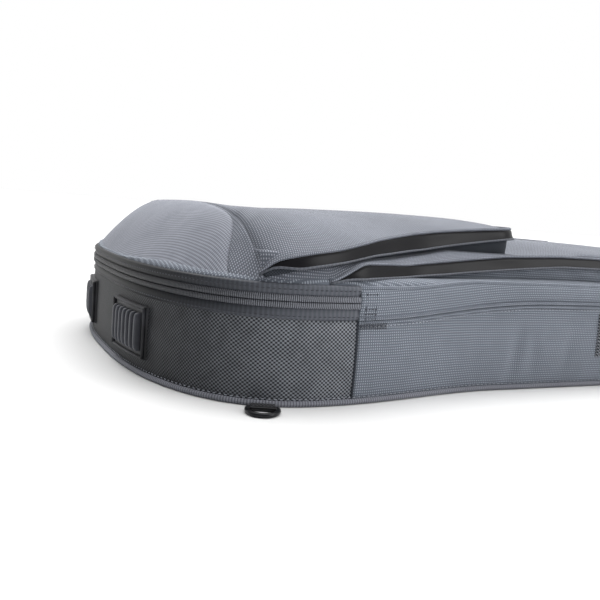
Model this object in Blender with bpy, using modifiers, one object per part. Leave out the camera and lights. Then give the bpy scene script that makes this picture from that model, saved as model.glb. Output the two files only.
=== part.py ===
"""Padded gig bag for an electric guitar or bass, lying on its back.

The bag's length runs along X with the bottom end at -X and the head end at +X.
The opening edge is at +Y, the hinged spine at -Y, and the pockets look up, +Z.
Stations along the bag, such as WAIST_FROM, are distances from its bottom end.
The origin is the middle of the footprint, on the floor. All sizes are in metres.
"""
import math

import bmesh
import bpy
from mathutils import Matrix

# Plan outline
LENGTH = 1.040          # bottom end to head end, without the hanging loop
LOWER_AT = 0.110        # station of the widest place
LOWER_HALF = 0.204      # half the width there
BOTTOM_POWER = 2.6      # squareness of the bottom end
WAIST_FROM = 0.270      # straight flank, from here
FLANK_TO = 0.440        # to here
FLANK_HALF = 0.183
NECK_FROM = 0.690       # straight neck, from here
NECK_HALF = 0.078
HEAD_RUN = 0.110        # length of the rounded head end
HEAD_POWER = 2.8

# Layers, from the floor up
STRAP_BAY = 0.0100      # hollow of the back where the shoulder straps lie
BACK_FOAM = 0.0100
LINING = 0.0020
RIM_HEIGHT = 0.0800     # top edge of the zip strip
SEAM_HEIGHT = RIM_HEIGHT - 0.0185    # top edge of the side panels
SPLIT_HEIGHT = RIM_HEIGHT - 0.0091   # middle of the zip, where base and lid part
FRONT_FOAM = 0.0080
SKIN = 0.0022           # outer cloth with its backing
WALL = 0.0140           # side wall, cloth and foam together
GAP = 0.0003            # between pieces that touch
PIPING_R = 0.0016
EDGE_ROUND = 0.0035     # rounding of the padded front's edge
LID_AXIS_OUT = 0.0030   # the lid turns this far outside the widest place
SIDE_STEP = 0.034       # spacing of the outline's corners along the sides

# Main zip
ZIP_STOP = 0.1305       # station of the near end of the zip
ZIP_RESUME = 0.455      # station where the zip takes over again from the spine cloth
COIL_HEIGHT = 0.0036
COIL_PROUD = 0.0012
SLIDER_LONG = 0.0140
SLIDER_WIDE = 0.0105
SLIDER_THICK = 0.0045
SLIDER_AT = 0.780
SLIDER_PITCH = 0.0300
PULL_LONG = 0.0300
PULL_WIDE = 0.0070
PULL_THICK = 0.0016

# Pockets
HEEL_TO = 0.062         # station of the fold where the pocket fronts lift
FOLD_CLEAR = 0.0015     # room at the fold, on the heel's side
HEEL_CREST = 0.045      # station where the heel slope meets the top
HEEL_TOP = RIM_HEIGHT + 0.0475
HEEL_BRIM = 0.0035      # upright edge of the heel where it is sewn to the front
POCKET_SKIN = 0.0025
POCKET_SEAM = 0.003     # cloth between the rim and a pocket's foot
LONG_END = 0.500
LONG_INSET = 0.017
LONG_EDGE = RIM_HEIGHT + 0.0205      # top of the long pocket's side
LONG_TOP = RIM_HEIGHT + 0.0230       # its flat part, under the short pocket
LONG_BULGE = RIM_HEIGHT + 0.0385     # its round part, past the short pocket
LONG_ZIP_FROM = 0.095   # station where the long pocket's side leaves the rim
LONG_ZIP_FULL = 0.200   # station where its inset is reached in full
BULGE_RISE = 0.040      # run in which the round part rises
BULGE_TO = 0.460        # station where it starts to fall
SHORT_END = 0.328
SHORT_INSET = 0.036
SHORT_EDGE = RIM_HEIGHT + 0.0410
SHORT_TOP = RIM_HEIGHT + 0.0545
SHORT_ZIP_FROM = 0.062
SHORT_ZIP_FULL = 0.220
FOLD_OVER = 0.0020      # height of the fold's axis over the heel
POCKET_STEP = 0.036     # spacing of the pockets' cross sections
DOME_POWER = 2.6
FLAP_FROM = 0.150       # station where the flaps start in full
FLAP_HEIGHT = 0.0090
FLAP_THICK = 0.0012
FLAP_STAND_OFF = 0.0040
POCKET_ZIP_HEIGHT = 0.0050
POCKET_ZIP_THICK = 0.0010
ZIP_ABOVE_SEAM = 0.0008
LONG_SLIDER_AT = 0.2900
POCKET_PULL_LONG = 0.0180
POCKET_PULL_THICK = 0.0010
POCKET_END_RUN = 0.042
POCKET_END_POWER = 3.2
SLIDER_BEFORE_END = 0.0075      # from the short slider to where its pocket's round end starts
SHORT_SLIDER_AT = SHORT_END - POCKET_END_RUN - SLIDER_BEFORE_END
STRIP_AT = 0.440        # reflective strip on the long pocket's round part
STRIP_DEEP = 0.0180
STRIP_HALF = 0.0450
STRIP_HIGH = 0.0009

# Hardware
FOOT_LONG = 0.0660
FOOT_HIGH = 0.0390
FOOT_LOW = 0.0130       # height of its lower edge over the floor
FOOT_PAD = 0.0035
FOOT_RIB = 0.0050
FOOT_RIBS = 7
FOOT_FRAME = 0.0055     # smooth edge above and below the ribs
RIB_SHARE = 0.56        # rib width over rib pitch
FOOT_AT = 0.0790        # outline run from the bottom's middle to the foot's middle
RING_AT = 0.0670        # station of the strap rings
RING_WIDE = 0.0205
RING_DEEP = 0.0150
RING_WIRE = 0.0016
TAB_WIDE = 0.0165
TAB_OUT = 0.0085
TAB_THICK = 0.0018
HANDLE_FROM = 0.395
HANDLE_TO = 0.515
HANDLE_HEIGHT = 0.0440
HANDLE_DROP = 0.0200
HANDLE_OUT = 0.0075
HANDLE_THICK = 0.0050
PATCH_LONG = 0.0260
PATCH_HIGH = 0.0380
PATCH_THICK = 0.0020
LOOP_OUT = 0.0450
LOOP_WIDE = 0.0500
LOOP_THICK = 0.0065
LOOP_TAPER = 0.55       # width of the loop's far end over that of its foot
LOOP_BAND = 0.0220
LOOP_HEIGHT = 0.0380

FOOT_REACH = 0.0074     # how far the feet stand out past the bottom end
MIDDLE = 0.5 * (LENGTH + LOOP_OUT - FOOT_REACH)   # station of the footprint's middle

# Inside
CRADLE_AT = 0.0200      # from the start of the straight neck
CRADLE_LONG = 0.100
CRADLE_HIGH = 0.0300
CRADLE_GROOVE = 0.0560
CRADLE_LIP = 0.0010
CRADLE_DEPTH = 0.0160
END_PAD_DEEP = 0.0220
END_PAD_HIGH = 0.0400
END_PAD_WIDE = 0.1400
END_PAD_CLEAR = 0.0035
END_PAD_ROUND = 0.0050
NECK_BAND_LONG = 0.0380
NECK_BAND_THICK = 0.0022

# Shoulder straps in the hollow of the back
STRAP_WIDE = 0.0600
STRAP_THICK = 0.0080
STRAP_FROM = 0.250
STRAP_TO = 0.620
STRAP_APART = 0.0560    # from the middle line to a strap's middle, at its top
STRAP_BOW = 0.0300
STRAP_CLOSING = 0.30    # how much nearer the straps stand at their top
STRAP_SLIM = 0.62       # narrowest width over the full one
STRAP_CLEAR = 0.0015
WEB_WIDE = 0.0250
WEB_THICK = 0.0016
WEB_TO = 0.120
BUCKLE_LONG = 0.0340
BUCKLE_WIDE = 0.0340
BUCKLE_THICK = 0.0065
HOOK_LONG = 0.0420
HOOK_WIDE = 0.0220
HOOK_THICK = 0.0055
HARD_ROUND = 0.0015     # rounding of the buckle's and the hook's edges

parts = bpy.data.collections.new("padded_gig_bag")
cutters = bpy.data.collections.new("cutters")


# ---------------------------------------------------------------- outline
def smooth(value, low, high):
    """0 below low, 1 above high and an S-curve between them."""
    u = min(max((value - low) / (high - low), 0.0), 1.0)
    return u * u * (3.0 - 2.0 * u)


def half_width(station):
    """Half the bag's width past its widest place."""
    flank = LOWER_HALF + (FLANK_HALF - LOWER_HALF) * smooth(station, LOWER_AT, WAIST_FROM)
    return flank + (NECK_HALF - FLANK_HALF) * smooth(station, FLANK_TO, NECK_FROM)


def end_arc(start, end_run, half, power, steps):
    """Points of a rounded end: a quarter of a superellipse down to the middle line."""
    arc = []
    for i in range(1, steps + 1):
        angle = 0.5 * math.pi * i / steps
        x = start + end_run * math.sin(angle) ** (2.0 / power)
        y = half * max(math.cos(angle), 0.0) ** (2.0 / power)
        arc.append((x, -y))
    return arc


def half_outline(side_end, end_run, end_power, inset=lambda station: 0.0):
    """The near half of a plan outline, from the bottom's middle to the other end's.

    The bottom is a quarter superellipse, the side follows half_width, and each
    point moves inwards along its normal by the inset at its station."""
    points = []
    bottom_steps = 14
    for i in range(bottom_steps):
        angle = 0.5 * math.pi * (i / bottom_steps) ** 1.15
        x = LOWER_AT * (1.0 - math.cos(angle) ** (2.0 / BOTTOM_POWER))
        y = LOWER_HALF * math.sin(angle) ** (2.0 / BOTTOM_POWER)
        points.append((x, -y))
    side_steps = max(4, round((side_end - LOWER_AT) / SIDE_STEP))
    for i in range(side_steps + 1):
        x = LOWER_AT + (side_end - LOWER_AT) * i / side_steps
        points.append((x, -half_width(x)))
    moved = []
    for i, (x, y) in enumerate(points):
        before = points[i - 1] if i else (points[1][0], -points[1][1])
        after = points[min(i + 1, len(points) - 1)]
        run = math.hypot(after[0] - before[0], after[1] - before[1])
        inwards = (-(after[1] - before[1]) / run, (after[0] - before[0]) / run)
        depth = inset(x)
        moved.append((x + inwards[0] * depth, y + inwards[1] * depth))
    depth = inset(side_end)
    return moved + end_arc(side_end, end_run - depth, -moved[-1][1], end_power, 8)


def whole(half):
    """A half outline and its mirror image, as one closed loop without doubles."""
    far = [(x, -y) for x, y in reversed(half[1:-1])]
    return half + far


def bag_outline(inset):
    """The bag's closed outline, moved inwards by one inset all round."""
    return whole(half_outline(LENGTH - HEAD_RUN, HEAD_RUN, HEAD_POWER, lambda station: inset))


class Track:
    """The bag's outline as a line that is followed by its run in metres.

    The run is 0 at the bottom's middle and grows along the near side to the
    head's middle, and past it down the far side. Negative runs are the far side."""

    def __init__(self):
        loop = bag_outline(0.0)
        self.points = loop + loop[:1]
        self.runs = [0.0]
        for a, b in zip(self.points, self.points[1:]):
            self.runs.append(self.runs[-1] + math.hypot(b[0] - a[0], b[1] - a[1]))
        self.total = self.runs[-1]

    def locate(self, run):
        """Index of the stretch that holds a run, and how far along it the run is."""
        run = run % self.total
        index = 0
        while self.runs[index + 1] < run:
            index += 1
        share = (run - self.runs[index]) / (self.runs[index + 1] - self.runs[index])
        return index, share

    def normal(self, index):
        """Outward normal at a corner of the outline."""
        count = len(self.points) - 1
        before = self.points[(index - 1) % count]
        after = self.points[(index + 1) % count]
        dx, dy = after[0] - before[0], after[1] - before[1]
        size = math.hypot(dx, dy)
        return dy / size, -dx / size

    def place(self, run, out):
        """The point at a run, moved outwards, and the outward normal there."""
        index, share = self.locate(run)
        a, b = self.points[index], self.points[index + 1]
        na, nb = self.normal(index), self.normal(index + 1)
        nx = na[0] + (nb[0] - na[0]) * share
        ny = na[1] + (nb[1] - na[1]) * share
        size = math.hypot(nx, ny)
        nx, ny = nx / size, ny / size
        x = a[0] + (b[0] - a[0]) * share + nx * out
        y = a[1] + (b[1] - a[1]) * share + ny * out
        return (x, y), (nx, ny)

    def run_at(self, station):
        """Run of the near side's point at a station."""
        for i, point in enumerate(self.points):
            if point[0] >= station:
                a = self.points[i - 1]
                share = (station - a[0]) / (point[0] - a[0])
                return self.runs[i - 1] + share * (self.runs[i] - self.runs[i - 1])
        raise ValueError("the station is past the bag")

    def stretch(self, start, stop, out):
        """Points from one run to another, at the outline's own corners between."""
        runs = [start]
        for lap in (-1, 0, 1):
            for corner in self.runs[:-1]:
                if start + GAP < corner + lap * self.total < stop - GAP:
                    runs.append(corner + lap * self.total)
        runs.append(stop)
        return [self.place(run, out)[0] for run in sorted(runs)]

    def band(self, start, stop, outer, inner):
        """Closed outline of a strip that follows the bag between two offsets."""
        return self.stretch(start, stop, outer) + self.stretch(start, stop, inner)[::-1]


# ---------------------------------------------------------------- makers
def cloth(name, colour, roughness, metallic=0.0):
    """A plain Principled material."""
    material = bpy.data.materials.new(name)
    material.use_nodes = True
    shader = material.node_tree.nodes["Principled BSDF"]
    shader.inputs["Base Color"].default_value = (*colour, 1.0)
    shader.inputs["Roughness"].default_value = roughness
    shader.inputs["Metallic"].default_value = metallic
    material.diffuse_color = (*colour, 1.0)
    return material


def enlist(thing, material):
    """Put a finished object in the bag's collection with its material."""
    parts.objects.link(thing)
    thing.data.materials.append(material)
    return thing


def plate(name, loops, low, high, material):
    """A flat outline, with any holes, filled and extruded from low to high."""
    curve = bpy.data.curves.new(name, "CURVE")
    curve.dimensions = "2D"
    curve.fill_mode = "BOTH"
    curve.extrude = 0.5 * (high - low)
    for loop in loops:
        spline = curve.splines.new("POLY")
        spline.points.add(len(loop) - 1)
        for point, (x, y) in zip(spline.points, loop):
            point.co = (x - MIDDLE, y, 0.0, 1.0)
        spline.use_cyclic_u = True
    thing = bpy.data.objects.new(name, curve)
    thing.location.z = 0.5 * (low + high)
    return enlist(thing, material)


def tube(name, points, radius, material, closed=False, sides=1):
    """A round bar along a line of points."""
    curve = bpy.data.curves.new(name, "CURVE")
    curve.dimensions = "3D"
    curve.bevel_depth = radius
    curve.bevel_resolution = sides
    curve.use_fill_caps = not closed
    spline = curve.splines.new("POLY")
    spline.points.add(len(points) - 1)
    for point, (x, y, z) in zip(spline.points, points):
        point.co = (x, y, z, 1.0)
    spline.use_cyclic_u = closed
    thing = bpy.data.objects.new(name, curve)
    return enlist(thing, material)


def block(name, low, high, material, bevel=0.0):
    """A box between two corners, its edges rounded by bevel."""
    shape = bmesh.new()
    bmesh.ops.create_cube(shape, size=1.0)
    size = [b - a for a, b in zip(low, high)]
    middle = [0.5 * (a + b) for a, b in zip(low, high)]
    bmesh.ops.scale(shape, vec=size, verts=shape.verts)
    mesh = bpy.data.meshes.new(name)
    shape.to_mesh(mesh)
    shape.free()
    thing = bpy.data.objects.new(name, mesh)
    thing.location = middle
    if bevel:
        rounding = thing.modifiers.new("rounding", "BEVEL")
        rounding.width = bevel
        rounding.segments = 2
    return enlist(thing, material)


def section_shell(name, sections, close_start, close_end, thickness, material):
    """A cloth front: cross sections joined along the bag, then given a thickness.

    Every section is a row of as many points, from the near edge over the top to
    the far edge. A closed end gets one more face across its last section."""
    mesh = bpy.data.meshes.new(name)
    width = len(sections[0])
    points = [(x - MIDDLE, y, z) for row in sections for x, y, z in row]
    faces = []
    for r in range(len(sections) - 1):
        for c in range(width - 1):
            a = r * width + c
            faces.append((a, a + width, a + width + 1, a + 1))
    if close_start:
        faces.append(tuple(range(width)))
    if close_end:
        last = (len(sections) - 1) * width
        faces.append(tuple(range(last + width - 1, last - 1, -1)))
    mesh.from_pydata(points, [], faces)
    thing = bpy.data.objects.new(name, mesh)
    wall = thing.modifiers.new("wall", "SOLIDIFY")
    wall.thickness = thickness
    wall.offset = -1.0
    wall.use_even_offset = True
    return enlist(thing, material)


def join_solids(main, others):
    """Unite helper solids with a main one and keep them among the cutters."""
    for other in others:
        parts.objects.unlink(other)
        cutters.objects.link(other)
        other.hide_render = True
        other.display_type = "WIRE"
        union = main.modifiers.new("join", "BOOLEAN")
        union.operation = "UNION"
        union.object = other


def as_mesh(thing):
    """Turn a curve object into a welded mesh object of the same name."""
    bpy.context.view_layer.update()
    graph = bpy.context.evaluated_depsgraph_get()
    mesh = bpy.data.meshes.new_from_object(thing.evaluated_get(graph))
    shape = bmesh.new()
    shape.from_mesh(mesh)
    bmesh.ops.remove_doubles(shape, verts=shape.verts, dist=0.00002)
    shape.to_mesh(mesh)
    shape.free()
    name = thing.name
    material = thing.data.materials[0]
    matrix = thing.matrix_world.copy()
    bpy.data.objects.remove(thing)
    solid = bpy.data.objects.new(name, mesh)
    solid.matrix_world = matrix
    mesh.materials.clear()
    return enlist(solid, material)


def hang(name, point, things):
    """Parent pieces that move together to an empty on their joint's axis."""
    pin = bpy.data.objects.new(name, None)
    pin.location = point
    parts.objects.link(pin)
    for thing in things:
        thing.parent = pin
        thing.matrix_parent_inverse = Matrix.Translation(pin.location).inverted()


# ---------------------------------------------------------------- base
def make_base(track, looks):
    """Back, side walls and their linings, the lower half of the zip, the piping."""
    stop, resume = track.run_at(ZIP_STOP), track.run_at(ZIP_RESUME)
    lap = track.total
    floor_of_bag = STRAP_BAY + GAP
    plate("wall_foam", [bag_outline(SKIN + GAP), bag_outline(WALL)], 0.0,
          SPLIT_HEIGHT - GAP, looks["foam"])
    plate("back_panel", [bag_outline(WALL + GAP)], floor_of_bag,
          floor_of_bag + BACK_FOAM, looks["grey"])
    lining_low = floor_of_bag + BACK_FOAM + GAP
    plate("back_lining", [bag_outline(WALL + GAP)], lining_low, lining_low + LINING,
          looks["plush"])
    plate("wall_lining", [bag_outline(WALL + GAP), bag_outline(WALL + GAP + LINING)],
          lining_low + LINING + GAP, SPLIT_HEIGHT - GAP, looks["plush"])
    plate("side_panel_ballistic", [track.band(-stop, stop, 0.0, -SKIN)], 0.0,
          SEAM_HEIGHT, looks["ballistic"])
    plate("side_panel_grey", [track.band(stop + GAP, lap - stop - GAP, 0.0, -SKIN)], 0.0,
          SEAM_HEIGHT, looks["grey"])
    tape_low = SEAM_HEIGHT + GAP
    tape_high = SPLIT_HEIGHT - GAP
    plate("spine_cloth_base", [track.band(stop + GAP, resume - GAP, 0.0, -SKIN)], tape_low,
          tape_high, looks["grey"])
    plate("zip_tape_lower", [track.band(resume, lap + stop, 0.0, -SKIN)], tape_low,
          tape_high, looks["tape"])
    plate("zip_coil_lower", [track.band(resume, lap + stop, GAP + COIL_PROUD, GAP)],
          tape_high - COIL_HEIGHT, tape_high, looks["coil"])
    edge = [(x - MIDDLE, y, PIPING_R) for x, y in bag_outline(-(PIPING_R + GAP))]
    tube("bottom_piping", edge, PIPING_R, looks["binding"], closed=True)


def make_foot(track, looks, name, side):
    """A ribbed rubber foot, bent round the bottom end like the panel it sits on."""
    middle = side * FOOT_AT
    start = middle - 0.5 * FOOT_LONG
    pad = track.band(start, start + FOOT_LONG, GAP + FOOT_PAD, GAP)
    base = plate(name, [pad], FOOT_LOW, FOOT_LOW + FOOT_HIGH, looks["rubber"])
    base = as_mesh(base)
    pitch = FOOT_LONG / (FOOT_RIBS + 1.5)
    margin = 0.5 * (FOOT_LONG - pitch * FOOT_RIBS)
    ribs = []
    for i in range(FOOT_RIBS):
        rib_from = start + margin + pitch * (i + 0.5 * (1.0 - RIB_SHARE))
        outline = track.band(rib_from, rib_from + RIB_SHARE * pitch, GAP + FOOT_PAD + FOOT_RIB,
                             GAP + 0.5 * FOOT_PAD)
        rib = plate(f"{name}_rib_{i}", [outline], FOOT_LOW + FOOT_FRAME,
                    FOOT_LOW + FOOT_HIGH - FOOT_FRAME, looks["rubber"])
        ribs.append(as_mesh(rib))
    join_solids(base, ribs)


def make_ring(track, looks, name, side):
    """A strap ring, flat on the floor, in its sewn tab."""
    run = track.run_at(RING_AT) * side
    (x, y), (nx, ny) = track.place(run, 0.0)
    tx, ty = -ny, nx

    def spot(along, out):
        return (x + tx * along + nx * out, y + ty * along + ny * out)

    near = 2.0 * PIPING_R + 2.0 * GAP
    tab_end = near + TAB_OUT
    tab = [spot(-0.5 * TAB_WIDE, near), spot(0.5 * TAB_WIDE, near),
           spot(0.5 * TAB_WIDE, tab_end), spot(-0.5 * TAB_WIDE, tab_end)]
    plate(f"ring_tab_{name}", [tab], 0.0, TAB_THICK, looks["webbing"])
    bar = tab_end + GAP + RING_WIRE
    points = []
    for i in range(11):
        angle = math.pi * i / 10
        along = 0.5 * RING_WIDE * math.cos(angle)
        out = bar + RING_DEEP * math.sin(angle) ** 0.8
        px, py = spot(along, out)
        points.append((px - MIDDLE, py, RING_WIRE))
    ring = tube(f"d_ring_{name}", points, RING_WIRE, looks["black_metal"], closed=True)
    pin_x, pin_y = spot(0.0, bar)
    hang(f"ring_pin_{name}", (pin_x - MIDDLE, pin_y, RING_WIRE), [ring])


def make_handle(track, looks):
    """The carrying handle on the spine side, hanging down its wall."""
    for name, station in (("rear", HANDLE_FROM), ("front", HANDLE_TO)):
        run = track.run_at(station)
        patch = track.band(run - 0.5 * PATCH_LONG, run + 0.5 * PATCH_LONG,
                           GAP + PATCH_THICK, GAP)
        plate(f"handle_patch_{name}", [patch], HANDLE_HEIGHT - 0.5 * PATCH_HIGH,
              HANDLE_HEIGHT + 0.5 * PATCH_HIGH, looks["ballistic"])
    first, _ = track.place(track.run_at(HANDLE_FROM), 0.0)
    last, _ = track.place(track.run_at(HANDLE_TO), 0.0)
    steps = 12
    clear = GAP + PATCH_THICK + GAP + 0.5 * HANDLE_THICK
    centre = []
    for i in range(steps + 1):
        u = i / steps
        arch = math.sin(math.pi * u) ** 0.7
        x = first[0] + (last[0] - first[0]) * u
        y = -FLANK_HALF - clear - HANDLE_OUT * arch
        centre.append((x - MIDDLE, y, HANDLE_HEIGHT - HANDLE_DROP * arch))
    strap = tube("handle_strap", centre, 0.5 * HANDLE_THICK, looks["webbing"], sides=2)
    hang("handle_pin", centre[0], [strap])


def make_head_loop(looks):
    """A webbing loop at the head end, to hang the bag from."""
    half = 0.5 * LOOP_WIDE
    tip = LOOP_TAPER * half
    foot, reach = LENGTH + GAP, LENGTH + LOOP_OUT
    outer = [(foot, -half), (reach, -tip), (reach, tip), (foot, half)]
    half -= LOOP_THICK
    tip -= LOOP_TAPER * LOOP_THICK
    reach -= LOOP_THICK
    inner = [(foot, half), (reach, tip), (reach, -tip), (foot, -half)]
    loop = plate("head_loop", [outer + inner], LOOP_HEIGHT - 0.5 * LOOP_BAND,
                 LOOP_HEIGHT + 0.5 * LOOP_BAND, looks["webbing"])
    hang("head_loop_pin", (MIDDLE + GAP, 0.0, LOOP_HEIGHT), [loop])


def make_inside(looks):
    """The neck cradle with its strap, and the bumper at the bottom end."""
    low = STRAP_BAY + BACK_FOAM + LINING + 3.0 * GAP
    half = NECK_HALF - WALL - LINING - 3.0 * GAP
    left = NECK_FROM + CRADLE_AT - MIDDLE
    groove = 0.5 * CRADLE_GROOVE
    profile = [(-half, 0.0), (half, 0.0), (half, CRADLE_HIGH), (groove, CRADLE_HIGH)]
    for i in range(7):
        angle = math.pi * i / 6
        y = groove * math.cos(angle)
        profile.append((y, CRADLE_HIGH - CRADLE_LIP - CRADLE_DEPTH * math.sin(angle)))
    profile += [(-groove, CRADLE_HIGH), (-half, CRADLE_HIGH)]
    curve_loop = [(MIDDLE + z, y) for y, z in profile]
    cradle = plate("neck_cradle", [curve_loop], 0.0, CRADLE_LONG, looks["plush"])
    cradle.location = (left + 0.5 * CRADLE_LONG, 0.0, low)
    cradle.rotation_euler = (math.pi, -0.5 * math.pi, 0.0)
    band_low = low + CRADLE_HIGH + GAP
    middle = left + 0.5 * CRADLE_LONG
    band = block("neck_strap", (middle - 0.5 * NECK_BAND_LONG, -half, band_low),
                 (middle + 0.5 * NECK_BAND_LONG, half, band_low + NECK_BAND_THICK),
                 looks["hook_and_loop"])
    hang("neck_strap_pin", (middle, half, band_low), [band])
    inner = WALL + LINING + 3.0 * GAP
    pad_from = -MIDDLE + inner + END_PAD_CLEAR
    block("end_pad", (pad_from, -0.5 * END_PAD_WIDE, low),
          (pad_from + END_PAD_DEEP, 0.5 * END_PAD_WIDE, low + END_PAD_HIGH),
          looks["plush"], bevel=END_PAD_ROUND)


def make_strap(looks, name, side):
    """A padded shoulder strap in the hollow of the back, with its webbing and hook."""
    steps = 12
    outer, inner = [], []
    for i in range(steps + 1):
        u = i / steps
        x = STRAP_FROM + (STRAP_TO - STRAP_FROM) * u
        middle = STRAP_APART * (1.0 - STRAP_CLOSING * u) + STRAP_BOW * math.sin(math.pi * u)
        swell = math.sin(math.pi * u)
        half = 0.5 * STRAP_WIDE * (STRAP_SLIM + (1.0 - STRAP_SLIM) * swell)
        half = min(half, middle - STRAP_CLEAR)
        outer.append((x, side * (middle + half)))
        inner.append((x, side * (middle - half)))
    low = 0.5 * (STRAP_BAY - STRAP_THICK)
    plate(f"shoulder_strap_{name}", [outer + inner[::-1]], low, low + STRAP_THICK,
          looks["mesh"])
    y = side * STRAP_APART
    buckle_from = STRAP_FROM - BUCKLE_LONG
    block(f"strap_buckle_{name}",
          (buckle_from - MIDDLE, y - 0.5 * BUCKLE_WIDE, low),
          (STRAP_FROM - GAP - MIDDLE, y + 0.5 * BUCKLE_WIDE, low + BUCKLE_THICK), looks["plastic"],
          bevel=HARD_ROUND)
    block(f"strap_webbing_{name}",
          (WEB_TO - MIDDLE, y - 0.5 * WEB_WIDE, low),
          (buckle_from - GAP - MIDDLE, y + 0.5 * WEB_WIDE, low + WEB_THICK),
          looks["webbing"])
    hook_from = WEB_TO - HOOK_LONG
    block(f"strap_hook_{name}",
          (hook_from - MIDDLE, y - 0.5 * HOOK_WIDE, low),
          (WEB_TO - GAP - MIDDLE, y + 0.5 * HOOK_WIDE, low + HOOK_THICK), looks["black_metal"],
          bevel=HARD_ROUND)


# ---------------------------------------------------------------- lid
def make_lid(track, looks):
    """The padded front with the upper half of the zip and the heel of the pockets."""
    stop, resume = track.run_at(ZIP_STOP), track.run_at(ZIP_RESUME)
    lap = track.total
    tape_low = SPLIT_HEIGHT + GAP
    foam_low = tape_low + LINING + GAP
    pieces = [
        plate("lid_lining", [bag_outline(SKIN + GAP)], tape_low, tape_low + LINING,
              looks["plush"]),
        plate("lid_foam", [bag_outline(SKIN + GAP)], foam_low, RIM_HEIGHT, looks["foam"]),
        plate("spine_cloth_lid", [track.band(stop + GAP, resume - GAP, 0.0, -SKIN)],
              tape_low, RIM_HEIGHT, looks["grey"]),
        plate("zip_tape_upper", [track.band(resume, lap + stop, 0.0, -SKIN)], tape_low,
              RIM_HEIGHT, looks["tape"]),
        plate("zip_coil_upper", [track.band(resume, lap + stop, GAP + COIL_PROUD, GAP)],
              tape_low, tape_low + COIL_HEIGHT, looks["coil"]),
    ]
    panel_low = RIM_HEIGHT + GAP
    panel = plate("front_panel", [bag_outline(0.0)], panel_low, panel_low + FRONT_FOAM,
                  looks["grey"])
    weld = panel.modifiers.new("weld", "WELD")
    weld.merge_threshold = 0.00002
    rounding = panel.modifiers.new("rounding", "BEVEL")
    rounding.width = EDGE_ROUND
    rounding.segments = 2
    rounding.angle_limit = math.radians(60.0)
    pieces.append(panel)
    sections = []
    base = RIM_HEIGHT + 2.0 * GAP + FRONT_FOAM
    for i in range(8):
        angle = 0.5 * math.pi * (i / 7)
        run = HEEL_TO - FOLD_CLEAR - POCKET_SEAM
        station = POCKET_SEAM + run * (1.0 - math.cos(angle))
        rise = smooth_quarter(station / HEEL_CREST)
        half = bottom_half(station) - POCKET_SEAM
        brim = base + HEEL_BRIM
        top = brim + HEEL_BRIM + (HEEL_TOP - brim - HEEL_BRIM) * rise
        sections.append(dome_section(station, half, base, brim, top))
    heel = section_shell("pocket_heel", sections, True, False, POCKET_SKIN, looks["grey"])
    pieces.append(heel)
    hang("lid_pin", (0.0, -LOWER_HALF - LID_AXIS_OUT, SPLIT_HEIGHT), pieces)


def smooth_quarter(u):
    """A quarter of a superellipse: steep at 0, level at 1."""
    u = min(max(u, 0.0), 1.0)
    return (1.0 - (1.0 - u) ** 2.2) ** (1.0 / 1.8)


def bottom_half(station):
    """Half the bag's width at a station, its rounded bottom end included."""
    if station >= LOWER_AT:
        return half_width(station)
    share = 1.0 - station / LOWER_AT
    return LOWER_HALF * (1.0 - share ** BOTTOM_POWER) ** (1.0 / BOTTOM_POWER)


def dome_section(station, half, low, edge, top):
    """One cross section: straight sides from low to edge, then a soft dome to the top."""
    row = [(station, -half, low)]
    if edge > low:
        row.append((station, -half, edge))
    steps = 12
    for i in range(1, steps):
        angle = math.pi * i / steps
        y = -half * math.cos(angle)
        level = (1.0 - abs(y / half) ** DOME_POWER) ** (1.0 / DOME_POWER)
        row.append((station, y, edge + (top - edge) * level))
    if edge > low:
        row.append((station, half, edge))
    row.append((station, half, low))
    return row


def make_slider(looks, name, x, y, z, outwards, reach):
    """A zip slider outside the coil at a height, with its pull hanging beside it."""
    body = block(f"{name}_slider",
                 (x - 0.5 * SLIDER_LONG, min(y, y + outwards * SLIDER_THICK), z - 0.5 * SLIDER_WIDE),
                 (x + 0.5 * SLIDER_LONG, max(y, y + outwards * SLIDER_THICK), z + 0.5 * SLIDER_WIDE),
                 looks["black_metal"], bevel=0.0012)
    face = y + outwards * (SLIDER_THICK + GAP)
    pull = block(f"{name}_pull",
                 (x - 0.5 * PULL_WIDE, min(face, face + outwards * PULL_THICK), z - reach),
                 (x + 0.5 * PULL_WIDE, max(face, face + outwards * PULL_THICK), z),
                 looks["black_metal"], bevel=0.0005)
    pin = (x, face + 0.5 * outwards * PULL_THICK, z)
    hang(f"{name}_pull_pin", pin, [pull])
    return [body, pull]


def make_main_sliders(looks):
    """Two sliders of the main zip, head to head on the straight far side of the neck."""
    y = NECK_HALF + COIL_PROUD + 2.0 * GAP
    for name, station in (("main_a", SLIDER_AT), ("main_b", SLIDER_AT + SLIDER_PITCH)):
        make_slider(looks, name, station - MIDDLE, y, SPLIT_HEIGHT, 1.0, PULL_LONG)


# ---------------------------------------------------------------- pockets
def pocket_inset(depth, start, full):
    """Inset of a pocket's side: none where its zip starts, all of it further on."""
    return lambda station: POCKET_SEAM + (depth - POCKET_SEAM) * smooth(station, start, full)


def pocket_half(station, inset, end):
    """Half the width of a pocket with a rounded far end."""
    side = bottom_half(min(station, end - POCKET_END_RUN)) - inset(station)
    past = max(station - (end - POCKET_END_RUN), 0.0) / POCKET_END_RUN
    return side * max(1.0 - past ** POCKET_END_POWER, 0.0) ** (1.0 / POCKET_END_POWER)


def pocket_stations(start, end, breaks):
    """Stations along a pocket, with its breaks, closer together at its rounded end."""
    straight = [start]
    round_from = end - POCKET_END_RUN
    for stop in [at for at in breaks if at < round_from] + [round_from]:
        count = max(1, round((stop - straight[-1]) / POCKET_STEP))
        run = (stop - straight[-1]) / count
        straight += [straight[-1] + run * (i + 1) for i in range(count)]
    straight.pop()
    arc = [end - POCKET_END_RUN + (POCKET_END_RUN - 0.0006) * math.sin(0.5 * math.pi * i / 6)
           for i in range(7)]
    return straight + arc


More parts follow.
